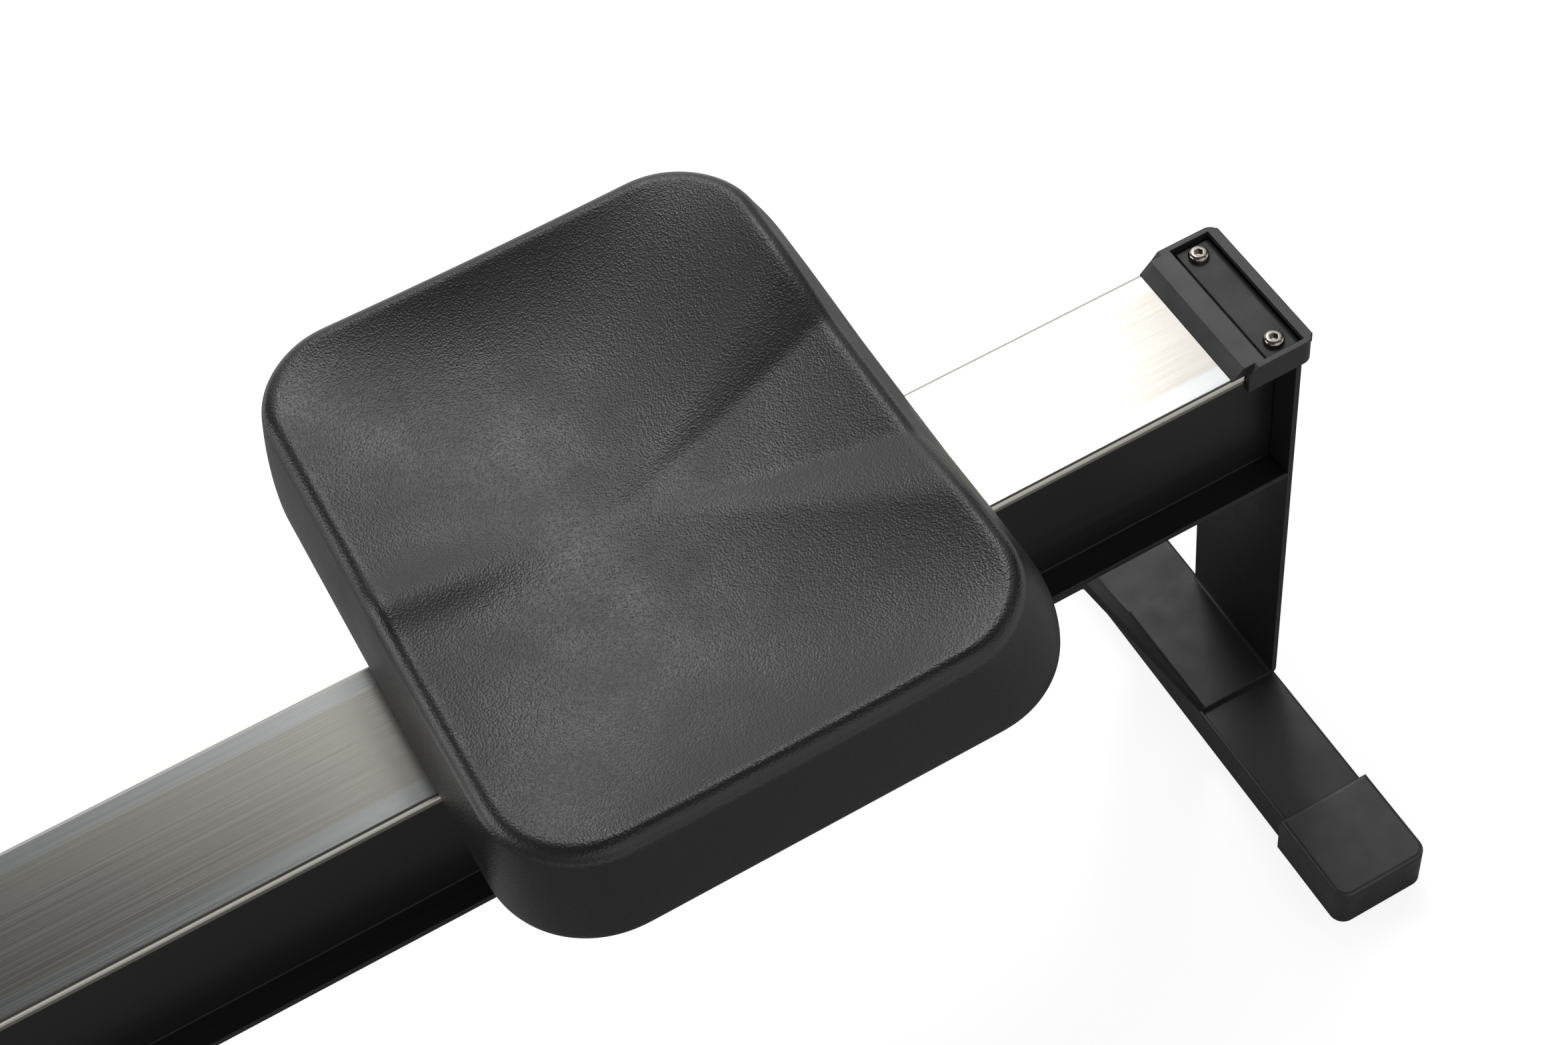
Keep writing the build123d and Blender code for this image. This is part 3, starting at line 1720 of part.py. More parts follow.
def monitor_front():
    outline = RectangleRounded(monitor_width, monitor_height, monitor_corner)
    bezel = extrude(outline, amount=bezel_depth)
    top_face = bezel.faces().sort_by(Axis.Z)[-1]
    bezel = fillet(top_face.edges(), bezel_wall)
    inner = RectangleRounded(
        monitor_width - 2 * monitor_wall,
        monitor_height - 2 * monitor_wall,
        monitor_corner - monitor_wall,
    )
    bezel -= extrude(inner, amount=bezel_depth - bezel_wall)
    window = Pos(0, screen_up, 0) * Rectangle(
        screen_width - 2 * screen_ledge, screen_height - 2 * screen_ledge
    )
    bezel -= extrude(window, amount=bezel_depth + overrun)
    for x, y in key_places():
        hole = Pos(x, y, 0) * RectangleRounded(
            key_width + 2 * fit, key_height + 2 * fit, key_height / 3
        )
        bezel -= extrude(hole, amount=bezel_depth + overrun)
    return monitor_plane().location * bezel


def monitor_screen():
    pane = Pos(0, screen_up, bezel_depth - bezel_wall - screen_gauge) * Rectangle(
        screen_width, screen_height
    )
    return monitor_plane().location * extrude(pane, amount=screen_gauge)


def monitor_key(x, y):
    top = bezel_depth + key_proud
    low = bezel_depth - bezel_wall - slide_fit
    cap = Pos(x, y, low) * RectangleRounded(key_width, key_height, key_height / 3)
    key = extrude(cap, amount=top - low)
    key = fillet(key.faces().sort_by(Axis.Z)[-1].edges(), key_proud / 2)
    flange = Pos(x, y, low - key_flange_gauge) * RectangleRounded(
        key_width + 2 * key_flange, key_height + 2 * key_flange, key_height / 3
    )
    key += extrude(flange, amount=key_flange_gauge)
    return monitor_plane().location * key


def all_nodes():
    front_axis, rear_axis = roller_axes()
    cage = fan_cage_half()
    cover = drive_cover()
    nodes = {
        "rail_beam": rail_beam(),
        "rail_strip": rail_strip(),
        "rear_leg_bracket": rear_leg_bracket(),
        "rear_foot_bar": rear_foot_bar(),
        "foot_caps": foot_caps(),
        "rear_stop": rear_stop(),
        "front_stop": front_stop(),
        "rail_screws": rail_screws(),
        "seat_cushion": seat_cushion(),
        "seat_plate": seat_plate(),
        "seat_bolts": seat_bolts(),
        "seat_carriage": seat_carriage(),
        "seat_axles": seat_axles(),
        "seat_roller_bearings": seat_roller_bearings(),
        "seat_roller_front_left": seat_roller(front_axis, 1),
        "seat_roller_front_right": seat_roller(front_axis, -1),
        "seat_roller_rear_left": seat_roller(rear_axis, 1),
        "seat_roller_rear_right": seat_roller(rear_axis, -1),
        "lower_roller_left": lower_roller(1),
        "lower_roller_right": lower_roller(-1),
        "front_frame": front_frame(),
        "frame_bolts": frame_bolts(),
        "front_foot_bar": front_foot_bar(),
        "transport_wheel_left": transport_wheel(1),
        "transport_wheel_right": transport_wheel(-1),
        "shaft_bearings": shaft_bearings(),
        "fan_shaft": fan_shaft(),
        "fan_pulley": fan_pulley(),
        "fan_wheel": fan_wheel(),
        "fan_cage_left": cage,
        "fan_cage_right": mirror(cage, about=Plane.XZ),
        "damper_lever": damper_lever(),
        "drum_shaft": drum_shaft(),
        "strap_drum": strap_drum(),
        "drive_pulley": drive_pulley(),
        "one_way_bearing": one_way_bearing(),
        "drive_belt": drive_belt(),
        "recoil_spring": recoil_spring(),
        "body_cover_left": cover,
        "body_cover_right": mirror(cover, about=Plane.XZ),
        "casing_screws": casing_screws(),
        "drive_strap": drive_strap(),
        "guide_roller": guide_roller(),
        "handle_bar": handle_bar(),
        "handle_grips": handle_grips(),
        "handle_holder": handle_holder(),
        "footplate_left": footplate(1),
        "footplate_right": footplate(-1),
        "heel_cup_left": heel_cup(1),
        "heel_cup_right": heel_cup(-1),
        "foot_straps": foot_straps(),
        "foot_buckles": foot_buckles(),
        "monitor_arm": monitor_arm(),
        "monitor_back": monitor_back(),
        "monitor_pin": monitor_pin(),
        "monitor_front": monitor_front(),
        "monitor_screen": monitor_screen(),
    }
    for name, (x, y) in zip(("left", "middle", "right"), key_places()):
        nodes["monitor_key_" + name] = monitor_key(x, y)
    return nodes


os.makedirs("parts", exist_ok=True)
for node_name, shape in all_nodes().items():
    pieces = shape if isinstance(shape, list) else [shape]
    solids = [Compound(piece.solids()) for piece in pieces]
    export_step(Compound(children=solids), f"parts/{node_name}.step")
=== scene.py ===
import bpy
import bmesh
import json
import math
from mathutils import Matrix, Vector


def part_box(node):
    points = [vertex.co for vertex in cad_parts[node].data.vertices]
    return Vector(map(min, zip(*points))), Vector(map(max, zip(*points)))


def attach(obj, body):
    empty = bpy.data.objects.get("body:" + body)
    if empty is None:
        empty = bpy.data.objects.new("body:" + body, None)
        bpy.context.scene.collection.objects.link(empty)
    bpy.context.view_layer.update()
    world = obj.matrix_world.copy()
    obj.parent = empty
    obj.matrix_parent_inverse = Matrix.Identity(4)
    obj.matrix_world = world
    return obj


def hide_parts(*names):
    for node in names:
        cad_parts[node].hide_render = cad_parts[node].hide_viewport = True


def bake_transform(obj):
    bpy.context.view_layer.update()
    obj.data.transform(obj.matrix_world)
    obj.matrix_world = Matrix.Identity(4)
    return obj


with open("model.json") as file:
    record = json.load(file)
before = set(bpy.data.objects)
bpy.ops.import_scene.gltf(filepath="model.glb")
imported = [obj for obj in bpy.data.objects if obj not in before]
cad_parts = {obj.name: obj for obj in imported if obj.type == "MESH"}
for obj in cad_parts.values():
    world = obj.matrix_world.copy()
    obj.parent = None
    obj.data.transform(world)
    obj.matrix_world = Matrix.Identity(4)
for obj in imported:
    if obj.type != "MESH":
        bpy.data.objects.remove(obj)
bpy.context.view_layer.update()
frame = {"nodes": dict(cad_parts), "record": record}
print("frame loaded")

# Camera and light

viewLook = {
    "width": 2352,  # the photograph's own width, in pixels
    "focal": 4002.6,  # in pixels, from the rail's and the leg's vanishing lines
    "sensor": 36.0,
    "clip": (0.02, 50.0),
    "place": (0.66865, -0.6641, 1.322),
    "right": (0.87174, -0.47851, -0.10533),
    "up": (0.44690, 0.68842, 0.57128),
    "back": (-0.20085, -0.54508, 0.81397),
}


def makeCamera():
    look = viewLook
    data = bpy.data.cameras.new("viewCamera")
    data.sensor_width = look["sensor"]
    data.lens = look["focal"] * look["sensor"] / look["width"]
    data.clip_start, data.clip_end = look["clip"]
    camera = bpy.data.objects.new("viewCamera", data)
    turn = Matrix((look["right"], look["up"], look["back"])).transposed()
    camera.matrix_world = Matrix.Translation(look["place"]) @ turn.to_4x4()
    bpy.context.scene.collection.objects.link(camera)
    bpy.context.scene.camera = camera


lightLook = {
    "sky": 0.34,  # what lights the object from all round
    "shown": 1.0,  # what the camera and polished metal see
    "dim": 0.09,  # the darker parts of the ceiling that polished surfaces see
    # direction, and the shares of facing it between which the ceiling turns dim
    "dimmed": (
        ((-0.45, -0.55, 0.70), 0.20, 0.35),
        ((-1.0, 0.0, 0.0), 0.12, 0.36),
        ((0.80, 0.40, 0.45), 0.83, 0.90),
    ),
    "band": ((0.15, -0.82, 0.55), 0.80, 0.93),
    # name, power, width and height, place, and what it points at
    "lamps": (
        ("topLamp", 46.0, (1.1, 1.8), (2.30, 3.3, 5.1), (0.85, 0.0, 0.4)),
        ("keyLamp", 14.0, (2.8, 2.4), (2.5, 2.0, 2.3), (0.85, 0.0, 0.35)),
        ("sideLamp", 26.0, (1.6, 1.6), (-1.5, 1.1, 1.5), (0.6, 0.0, 0.35)),
        ("fillLamp", 5.0, (2.4, 1.6), (-1.2, -2.2, 1.9), (0.2, 0.0, 0.4)),
    ),
}


def addLamp(name, power, size, place, aim):
    data = bpy.data.lights.new(name, "AREA")
    data.shape = "RECTANGLE"
    data.size, data.size_y = size
    data.energy = power
    lamp = bpy.data.objects.new(name, data)
    lamp.location = place
    lamp.rotation_mode = "QUATERNION"
    lamp.rotation_quaternion = (Vector(aim) - Vector(place)).to_track_quat("-Z", "Y")
    bpy.context.scene.collection.objects.link(lamp)


def combine(nodes, links, operation, *values):
    # a Math node, fed with numbers or with other nodes' outputs
    made = nodes.new("ShaderNodeMath")
    made.operation = operation
    for socket, value in zip(made.inputs, values):
        if isinstance(value, (int, float)):
            socket.default_value = value
        else:
            links.new(value, socket)
    return made.outputs[0]


def easeBetween(nodes, links, value, low, high):
    # 0 to 1 as a value goes from low to high
    ramp = nodes.new("ShaderNodeMapRange")
    ramp.interpolation_type = "SMOOTHSTEP"
    ramp.inputs["From Min"].default_value = low
    ramp.inputs["From Max"].default_value = high
    links.new(value, ramp.inputs["Value"])
    return ramp.outputs["Result"]


def facing(nodes, links, ray, toward, low, high):
    # 0 to 1 as a ray's direction turns to face a given one
    dot = nodes.new("ShaderNodeVectorMath")
    dot.operation = "DOT_PRODUCT"
    dot.inputs[1].default_value = Vector(toward).normalized()
    links.new(ray, dot.inputs[0])
    return easeBetween(nodes, links, dot.outputs["Value"], low, high)


def makeLight():
    for lamp in lightLook["lamps"]:
        addLamp(*lamp)
    world = bpy.data.worlds.new("studio")
    bpy.context.scene.world = world
    world.use_nodes = True
    nodes = world.node_tree.nodes
    links = world.node_tree.links
    nodes.clear()
    output = nodes.new("ShaderNodeOutputWorld")
    mix = nodes.new("ShaderNodeMixShader")
    soft = nodes.new("ShaderNodeBackground")
    soft.inputs["Color"].default_value = (1, 1, 1, 1)
    soft.inputs["Strength"].default_value = lightLook["sky"]
    shown = nodes.new("ShaderNodeBackground")
    shown.inputs["Strength"].default_value = lightLook["shown"]
    path = nodes.new("ShaderNodeLightPath")
    seen = combine(nodes, links, "MAXIMUM", path.outputs["Is Camera Ray"], path.outputs["Is Glossy Ray"])
    seen = combine(nodes, links, "MAXIMUM", seen, path.outputs["Is Transmission Ray"])
    links.new(seen, mix.inputs[0])
    links.new(soft.outputs[0], mix.inputs[1])
    links.new(shown.outputs[0], mix.inputs[2])
    links.new(mix.outputs[0], output.inputs["Surface"])
    # polished surfaces see a ceiling with dim parts, and a bright band behind the camera
    ray = nodes.new("ShaderNodeTexCoord").outputs["Generated"]
    share = 0.0
    for part in lightLook["dimmed"]:
        share = combine(nodes, links, "MAXIMUM", share, facing(nodes, links, ray, *part))
    for cleared in (facing(nodes, links, ray, *lightLook["band"]), path.outputs["Is Camera Ray"]):
        left = combine(nodes, links, "SUBTRACT", 1.0, cleared)
        share = combine(nodes, links, "MULTIPLY", share, left)
    tone = nodes.new("ShaderNodeMix")
    tone.data_type = "RGBA"
    dim = lightLook["dim"]
    tone.inputs["A"].default_value = (1, 1, 1, 1)
    tone.inputs["B"].default_value = (dim, dim, dim, 1)
    links.new(share, tone.inputs["Factor"])
    links.new(tone.outputs["Result"], shown.inputs["Color"])


def objectPlace(nodes, links, scale=(1, 1, 1)):
    place = nodes.new("ShaderNodeTexCoord")
    mapping = nodes.new("ShaderNodeMapping")
    mapping.inputs["Scale"].default_value = scale
    links.new(place.outputs["Object"], mapping.inputs["Vector"])
    return mapping.outputs["Vector"]


floorLook = {
    "size": 14.0,
    "tone": (0.42, 0.42, 0.42),
    "rough": 0.9,
    "glow": 0.82,
    "stretch": (0.5, 1, 1),  # the dark part is twice as long along the rail
    "reach": (0.7, 1.6),  # in metres; reflections see the floor from the first, and in full from the second
}


def makeFloor():
    look = floorLook
    shape = bmesh.new()
    bmesh.ops.create_grid(shape, x_segments=1, y_segments=1, size=look["size"])
    mesh = bpy.data.meshes.new("studioFloor")
    shape.to_mesh(mesh)
    shape.free()
    floor = bpy.data.objects.new("studioFloor", mesh)
    bpy.context.scene.collection.objects.link(floor)
    material, nodes, links, surface = startMaterial("studioFloor", look["tone"], look["rough"])
    surface.inputs["Specular IOR Level"].default_value = 0.0
    # the camera sees a white floor that keeps its shadow, and polished metal sees it away from the machine
    path = nodes.new("ShaderNodeLightPath")
    rays = [path.outputs[kind] for kind in ("Is Glossy Ray", "Is Transmission Ray")]
    seen = combine(nodes, links, "MAXIMUM", *rays)
    far = nodes.new("ShaderNodeVectorMath")
    far.operation = "LENGTH"
    links.new(objectPlace(nodes, links, look["stretch"]), far.inputs[0])
    away = easeBetween(nodes, links, far.outputs["Value"], *look["reach"])
    polished = combine(nodes, links, "MULTIPLY", seen, away)
    either = combine(nodes, links, "MAXIMUM", path.outputs["Is Camera Ray"], polished)
    glow = nodes.new("ShaderNodeEmission")
    glow.inputs["Color"].default_value = (1, 1, 1, 1)
    links.new(combine(nodes, links, "MULTIPLY", either, look["glow"]), glow.inputs["Strength"])
    both = nodes.new("ShaderNodeAddShader")
    links.new(surface.outputs[0], both.inputs[0])
    links.new(glow.outputs[0], both.inputs[1])
    links.new(both.outputs[0], nodes["Material Output"].inputs["Surface"])
    mesh.materials.append(material)


# Materials


def startMaterial(name, colour, roughness, metallic=0.0):
    material = bpy.data.materials.new(name)
    material.use_nodes = True
    material.diffuse_color = (*colour, 1)
    surface = material.node_tree.nodes["Principled BSDF"]
    surface.inputs["Base Color"].default_value = (*colour, 1)
    surface.inputs["Roughness"].default_value = roughness
    surface.inputs["Metallic"].default_value = metallic
    return material, material.node_tree.nodes, material.node_tree.links, surface


def noise(nodes, links, place, scale, detail, rough=0.5):
    texture = nodes.new("ShaderNodeTexNoise")
    texture.inputs["Scale"].default_value = scale
    texture.inputs["Detail"].default_value = detail
    texture.inputs["Roughness"].default_value = rough
    links.new(place, texture.inputs["Vector"])
    return texture.outputs["Fac"]


def pebbles(nodes, links, place, scale, smooth):
    texture = nodes.new("ShaderNodeTexVoronoi")
    texture.feature = "SMOOTH_F1"
    texture.inputs["Scale"].default_value = scale
    texture.inputs["Smoothness"].default_value = smooth
    links.new(place, texture.inputs["Vector"])
    return texture.outputs["Distance"]


def spread(nodes, links, value, low=0, high=1, fromLow=0.3, fromHigh=0.7):
    ranged = nodes.new("ShaderNodeMapRange")
    ranged.inputs["From Min"].default_value = fromLow
    ranged.inputs["From Max"].default_value = fromHigh
    ranged.inputs["To Min"].default_value = low
    ranged.inputs["To Max"].default_value = high
    links.new(value, ranged.inputs["Value"])
    return ranged.outputs["Result"]


def mixColour(nodes, links, share, first, second):
    mixed = nodes.new("ShaderNodeMix")
    mixed.data_type = "RGBA"
    mixed.inputs["A"].default_value = (*first, 1)
    mixed.inputs["B"].default_value = (*second, 1)
    links.new(share, mixed.inputs["Factor"])
    return mixed.outputs["Result"]


def tint(nodes, links, surface, share, look):
    # between a finish's colour and its lighter patches
    links.new(mixColour(nodes, links, share, look["colour"], look["light"]), surface.inputs["Base Color"])


def roughen(nodes, links, surface, value, rough, wear):
    # wear is how much smoother and how much rougher than rough the surface gets
    smoother, rougher = wear
    links.new(spread(nodes, links, value, rough - smoother, rough + rougher), surface.inputs["Roughness"])


def softEdge(nodes, radius):
    edge = nodes.new("ShaderNodeBevel")
    edge.samples = 6
    edge.inputs["Radius"].default_value = radius
    return edge.outputs["Normal"]


def relief(nodes, links, surface, height, depth, strength, edge=0.0):
    # grain of a depth in metres, and edges that catch the light as if rounded
    bump = nodes.new("ShaderNodeBump")
    bump.inputs["Distance"].default_value = depth
    bump.inputs["Strength"].default_value = strength
    links.new(height, bump.inputs["Height"])
    if edge:
        links.new(softEdge(nodes, edge), bump.inputs["Normal"])
    links.new(bump.outputs["Normal"], surface.inputs["Normal"])


# scale and detail of the patches and of the worn places, and how smooth the grain is
mouldLook = {
    "patch": (35, 4),
    "worn": (90, 5),
    "wear": (0.05, 0.08),
    "smooth": 0.6,
    "relief": 0.6,
    "edge": 0.0006,
}

plasticLook = {
    "cap_plastic": {
        "colour": (0.030, 0.030, 0.032), "light": (0.045, 0.045, 0.048),
        "rough": 0.38, "grain": 1500, "depth": 0.00003,
    },
    "stop_plastic": {
        "colour": (0.026, 0.027, 0.029), "light": (0.036, 0.037, 0.040),
        "rough": 0.34, "grain": 2600, "depth": 0.000015,
    },
    "cage_plastic": {
        "colour": (0.022, 0.022, 0.024), "light": (0.032, 0.032, 0.035),
        "rough": 0.46, "grain": 1100, "depth": 0.00005,
    },
    "cover_plastic": {
        "colour": (0.028, 0.028, 0.031), "light": (0.040, 0.040, 0.044),
        "rough": 0.44, "grain": 1100, "depth": 0.00005,
    },
    "lever_plastic": {
        "colour": (0.33, 0.33, 0.34), "light": (0.40, 0.40, 0.41),
        "rough": 0.42, "grain": 1500, "depth": 0.00003,
    },
    "monitor_plastic": {
        "colour": (0.030, 0.031, 0.034), "light": (0.042, 0.043, 0.047),
        "rough": 0.40, "grain": 1800, "depth": 0.00003,
    },
    "roller_plastic": {
        "colour": (0.62, 0.60, 0.55), "light": (0.70, 0.68, 0.63),
        "rough": 0.28, "grain": 900, "depth": 0.00001,
    },
    "guide_plastic": {
        "colour": (0.045, 0.045, 0.047), "light": (0.06, 0.06, 0.062),
        "rough": 0.26, "grain": 900, "depth": 0.00001,
    },
    "key_rubber": {
        "colour": (0.20, 0.20, 0.21), "light": (0.26, 0.26, 0.27),
        "rough": 0.62, "grain": 2200, "depth": 0.00003,
    },
}


def mouldedPlastic(name):
    look = plasticLook[name]
    material, nodes, links, surface = startMaterial(name, look["colour"], look["rough"])
    place = objectPlace(nodes, links)
    patch = noise(nodes, links, place, *mouldLook["patch"])
    tint(nodes, links, surface, spread(nodes, links, patch), look)
    worn = noise(nodes, links, place, *mouldLook["worn"])
    roughen(nodes, links, surface, worn, look["rough"], mouldLook["wear"])
    grain = pebbles(nodes, links, place, look["grain"], mouldLook["smooth"])
    relief(nodes, links, surface, grain, look["depth"], mouldLook["relief"], mouldLook["edge"])
    return material


seatSkinLook = {
    "colour": (0.009, 0.009, 0.0095),
    "light": (0.016, 0.016, 0.0165),
    "rough": 0.33,
    "wear": (0.04, 0.05),
    "gloss": 0.50,
    "patch": (30, 3),
    "cells": (1150, 0.8),  # scale and smoothness of the grain
    "worms": (900, 1.5, 0.6),
    "wormShare": 0.8,
    "shade": (0.35, 1.05),
    "depth": 0.00013,
}


def seatSkin(name):
    look = seatSkinLook
    material, nodes, links, surface = startMaterial(name, look["colour"], look["rough"])
    place = objectPlace(nodes, links)
    cells = pebbles(nodes, links, place, *look["cells"])
    worms = noise(nodes, links, place, *look["worms"])
    grain = combine(nodes, links, "MULTIPLY_ADD", worms, look["wormShare"], cells)
    tint(nodes, links, surface, spread(nodes, links, grain, 0, 1, *look["shade"]), look)
    patch = noise(nodes, links, place, *look["patch"])
    roughen(nodes, links, surface, patch, look["rough"], look["wear"])
    relief(nodes, links, surface, grain, look["depth"], 1.0)
    surface.inputs["Specular IOR Level"].default_value = look["gloss"]
    return material


coatLook = {
    "colour": (0.018, 0.018, 0.019),
    "light": (0.027, 0.027, 0.029),
    "rough": 0.43,
    "wear": (0.04, 0.07),
    "worn": (60, 4),
    "peel": (1700, 3, 0.6),
    "depth": 0.00006,
    "relief": 0.8,
    "edge": 0.0007,
}


def powderCoat(name):
    look = coatLook
    material, nodes, links, surface = startMaterial(name, look["colour"], look["rough"])
    place = objectPlace(nodes, links)
    peel = noise(nodes, links, place, *look["peel"])
    tint(nodes, links, surface, spread(nodes, links, peel), look)
    worn = noise(nodes, links, place, *look["worn"])
    roughen(nodes, links, surface, worn, look["rough"], look["wear"])
    relief(nodes, links, surface, peel, look["depth"], look["relief"], look["edge"])
    return material


beamLook = {
    "colour": (0.016, 0.016, 0.017),
    "light": (0.023, 0.023, 0.025),
    "metal": 0.25,
    "rough": 0.36,
    "wear": (0.03, 0.05),
    "stretch": (4, 900, 900),  # drawing lines run along the rail
    "lines": (1.0, 3, 0.6),
    "depth": 0.000004,
    "relief": 0.5,
    "edge": 0.0013,
}


def anodisedBeam(name):
    look = beamLook
    material, nodes, links, surface = startMaterial(name, look["colour"], look["rough"], look["metal"])
    lines = noise(nodes, links, objectPlace(nodes, links, look["stretch"]), *look["lines"])
    tint(nodes, links, surface, spread(nodes, links, lines), look)
    roughen(nodes, links, surface, lines, look["rough"], look["wear"])
    relief(nodes, links, surface, lines, look["depth"], look["relief"], look["edge"])
    return material


stripLook = {
    "middle": (0.42, 0.405, 0.37),
    "track": (0.46, 0.47, 0.47),  # where the rollers run
    "trackFrom": 0.0277,
    "trackTo": 0.0381,
    "trackEdge": 0.0004,
    "rough": 0.15,
    "wear": (0.04, 0.06),
    "lineStretch": (6, 2600, 2600),
    "lines": (1.0, 4, 0.65),
    "streakStretch": (3, 240, 240),
    "streaks": (1.0, 3),
    "streakTone": (0.72, 1.0),
    "streakShare": 0.08,
    "drawn": 0.6,  # how far highlights are drawn out across the brushing
    "depth": 0.0000025,
    "relief": 0.35,
    "edge": 0.0005,
}


def brushedStrip(name):
    look = stripLook
    material, nodes, links, surface = startMaterial(name, look["middle"], look["rough"], 1.0)
    lines = noise(nodes, links, objectPlace(nodes, links, look["lineStretch"]), *look["lines"])
    streaks = noise(nodes, links, objectPlace(nodes, links, look["streakStretch"]), *look["streaks"])
    parts = nodes.new("ShaderNodeSeparateXYZ")
    links.new(objectPlace(nodes, links), parts.inputs[0])
    across = combine(nodes, links, "ABSOLUTE", parts.outputs["Y"])
    start, end, edge = look["trackFrom"], look["trackTo"], look["trackEdge"]
    inside = spread(nodes, links, across, 0, 1, start - edge, start + edge)
    outside = spread(nodes, links, across, 1, 0, end - edge, end + edge)
    track = combine(nodes, links, "MULTIPLY", inside, outside)
    streaked = nodes.new("ShaderNodeMix")
    streaked.data_type = "RGBA"
    streaked.blend_type = "MULTIPLY"
    streaked.inputs["Factor"].default_value = look["streakShare"]
    links.new(mixColour(nodes, links, track, look["middle"], look["track"]), streaked.inputs["A"])
    links.new(spread(nodes, links, streaks, *look["streakTone"]), streaked.inputs["B"])
    links.new(streaked.outputs["Result"], surface.inputs["Base Color"])
    roughen(nodes, links, surface, lines, look["rough"], look["wear"])
    surface.inputs["Anisotropic"].default_value = look["drawn"]
    tangent = nodes.new("ShaderNodeTangent")
    tangent.direction_type = "RADIAL"
    tangent.axis = "Y"
    links.new(tangent.outputs[0], surface.inputs["Tangent"])
    relief(nodes, links, surface, lines, look["depth"], look["relief"], look["edge"])
    return material


turnedLook = {
    "stretch": (1, 6, 1),
    "lineDetail": (3, 0.6),
    "patch": (120, 3),
    "patchGain": 1.15,
    "wear": (0.05, 0.08),
    "relief": 0.5,
    "edge": 0.0003,
}

metalLook = {
    "screw_nickel": {"colour": (0.33, 0.30, 0.27), "rough": 0.16, "lines": 700, "depth": 0.000003},
    "plain_steel": {"colour": (0.55, 0.55, 0.56), "rough": 0.26, "lines": 1500, "depth": 0.000004},
    "zinc_steel": {"colour": (0.62, 0.63, 0.65), "rough": 0.24, "lines": 800, "depth": 0.000003},
    "fan_aluminium": {"colour": (0.62, 0.63, 0.64), "rough": 0.34, "lines": 900, "depth": 0.000006},
    "spring_steel": {"colour": (0.22, 0.24, 0.30), "rough": 0.28, "lines": 1200, "depth": 0.000003},
}


def turnedMetal(name):
    look = metalLook[name]
    turned = turnedLook
    material, nodes, links, surface = startMaterial(name, look["colour"], look["rough"], 1.0)
    place = objectPlace(nodes, links, turned["stretch"])
    lines = noise(nodes, links, place, look["lines"], *turned["lineDetail"])
    patch = noise(nodes, links, objectPlace(nodes, links), *turned["patch"])
    lighter = tuple(min(1.0, part * turned["patchGain"]) for part in look["colour"])
    tint(nodes, links, surface, spread(nodes, links, patch), {"colour": look["colour"], "light": lighter})
    roughen(nodes, links, surface, lines, look["rough"], turned["wear"])
    relief(nodes, links, surface, lines, look["depth"], turned["relief"], turned["edge"])
    return material


dustLook = {
    "smooth": 0.4,
    "dust": (55, 5, 0.6),
    "shade": (0.35, 0.75),
    "wear": (0.06, 0.08),
    "relief": 0.8,
    "edge": 0.0006,
}

rubberLook = {
    "bumper_rubber": {
        "colour": (0.022, 0.022, 0.022), "light": (0.034, 0.034, 0.034),
        "rough": 0.62, "grain": 1300, "depth": 0.00004,
    },
    "belt_rubber": {
        "colour": (0.020, 0.020, 0.020), "light": (0.034, 0.034, 0.034),
        "rough": 0.66, "grain": 1500, "depth": 0.00003,
    },
    "grip_foam": {
        "colour": (0.020, 0.020, 0.021), "light": (0.040, 0.040, 0.041),
        "rough": 0.78, "grain": 1700, "depth": 0.00018,
    },
    "wheel_rubber": {
        "colour": (0.024, 0.024, 0.025), "light": (0.040, 0.040, 0.041),
        "rough": 0.60, "grain": 1200, "depth": 0.00004,
    },
}


def rubber(name):
    look = rubberLook[name]
    material, nodes, links, surface = startMaterial(name, look["colour"], look["rough"])
    place = objectPlace(nodes, links)
    cells = pebbles(nodes, links, place, look["grain"], dustLook["smooth"])
    dust = spread(nodes, links, noise(nodes, links, place, *dustLook["dust"]), 0, 1, *dustLook["shade"])
    tint(nodes, links, surface, dust, look)
    roughen(nodes, links, surface, dust, look["rough"], dustLook["wear"])
    relief(nodes, links, surface, cells, look["depth"], dustLook["relief"], dustLook["edge"])
    return material


webbingLook = {
    "colour": (0.016, 0.016, 0.017),
    "light": (0.055, 0.055, 0.058),
    "rough": 0.8,
    "pitch": 0.0016,
    "turns": (("X", 2.0), ("Y", 1.0)),  # half waves in a pitch, along the webbing and across it
    "fuzz": (2200, 3),
    "fuzzShare": 0.8,
    "shade": (0.4, 1.4),
    "depth": 0.00022,
    "relief": 0.9,
    "sheen": 0.25,
    "sheenRough": 0.4,
}


def wovenWebbing(name):
    look = webbingLook
    material, nodes, links, surface = startMaterial(name, look["colour"], look["rough"])
    uv = nodes.new("ShaderNodeUVMap")
    uv.uv_map = "weave"
    parts = nodes.new("ShaderNodeSeparateXYZ")
    links.new(uv.outputs["UV"], parts.inputs[0])
    waves = []
    for axis, turn in look["turns"]:
        angle = combine(nodes, links, "MULTIPLY", parts.outputs[axis], turn * math.pi / look["pitch"])
        waves.append(combine(nodes, links, "SINE", angle))
    weave = spread(nodes, links, combine(nodes, links, "MULTIPLY", *waves), 0, 1, -1, 1)
    fuzz = noise(nodes, links, objectPlace(nodes, links), *look["fuzz"])
    height = combine(nodes, links, "MULTIPLY_ADD", fuzz, look["fuzzShare"], weave)
    tint(nodes, links, surface, spread(nodes, links, height, 0, 1, *look["shade"]), look)
    relief(nodes, links, surface, height, look["depth"], look["relief"])
    surface.inputs["Sheen Weight"].default_value = look["sheen"]
    surface.inputs["Sheen Roughness"].default_value = look["sheenRough"]
    return material


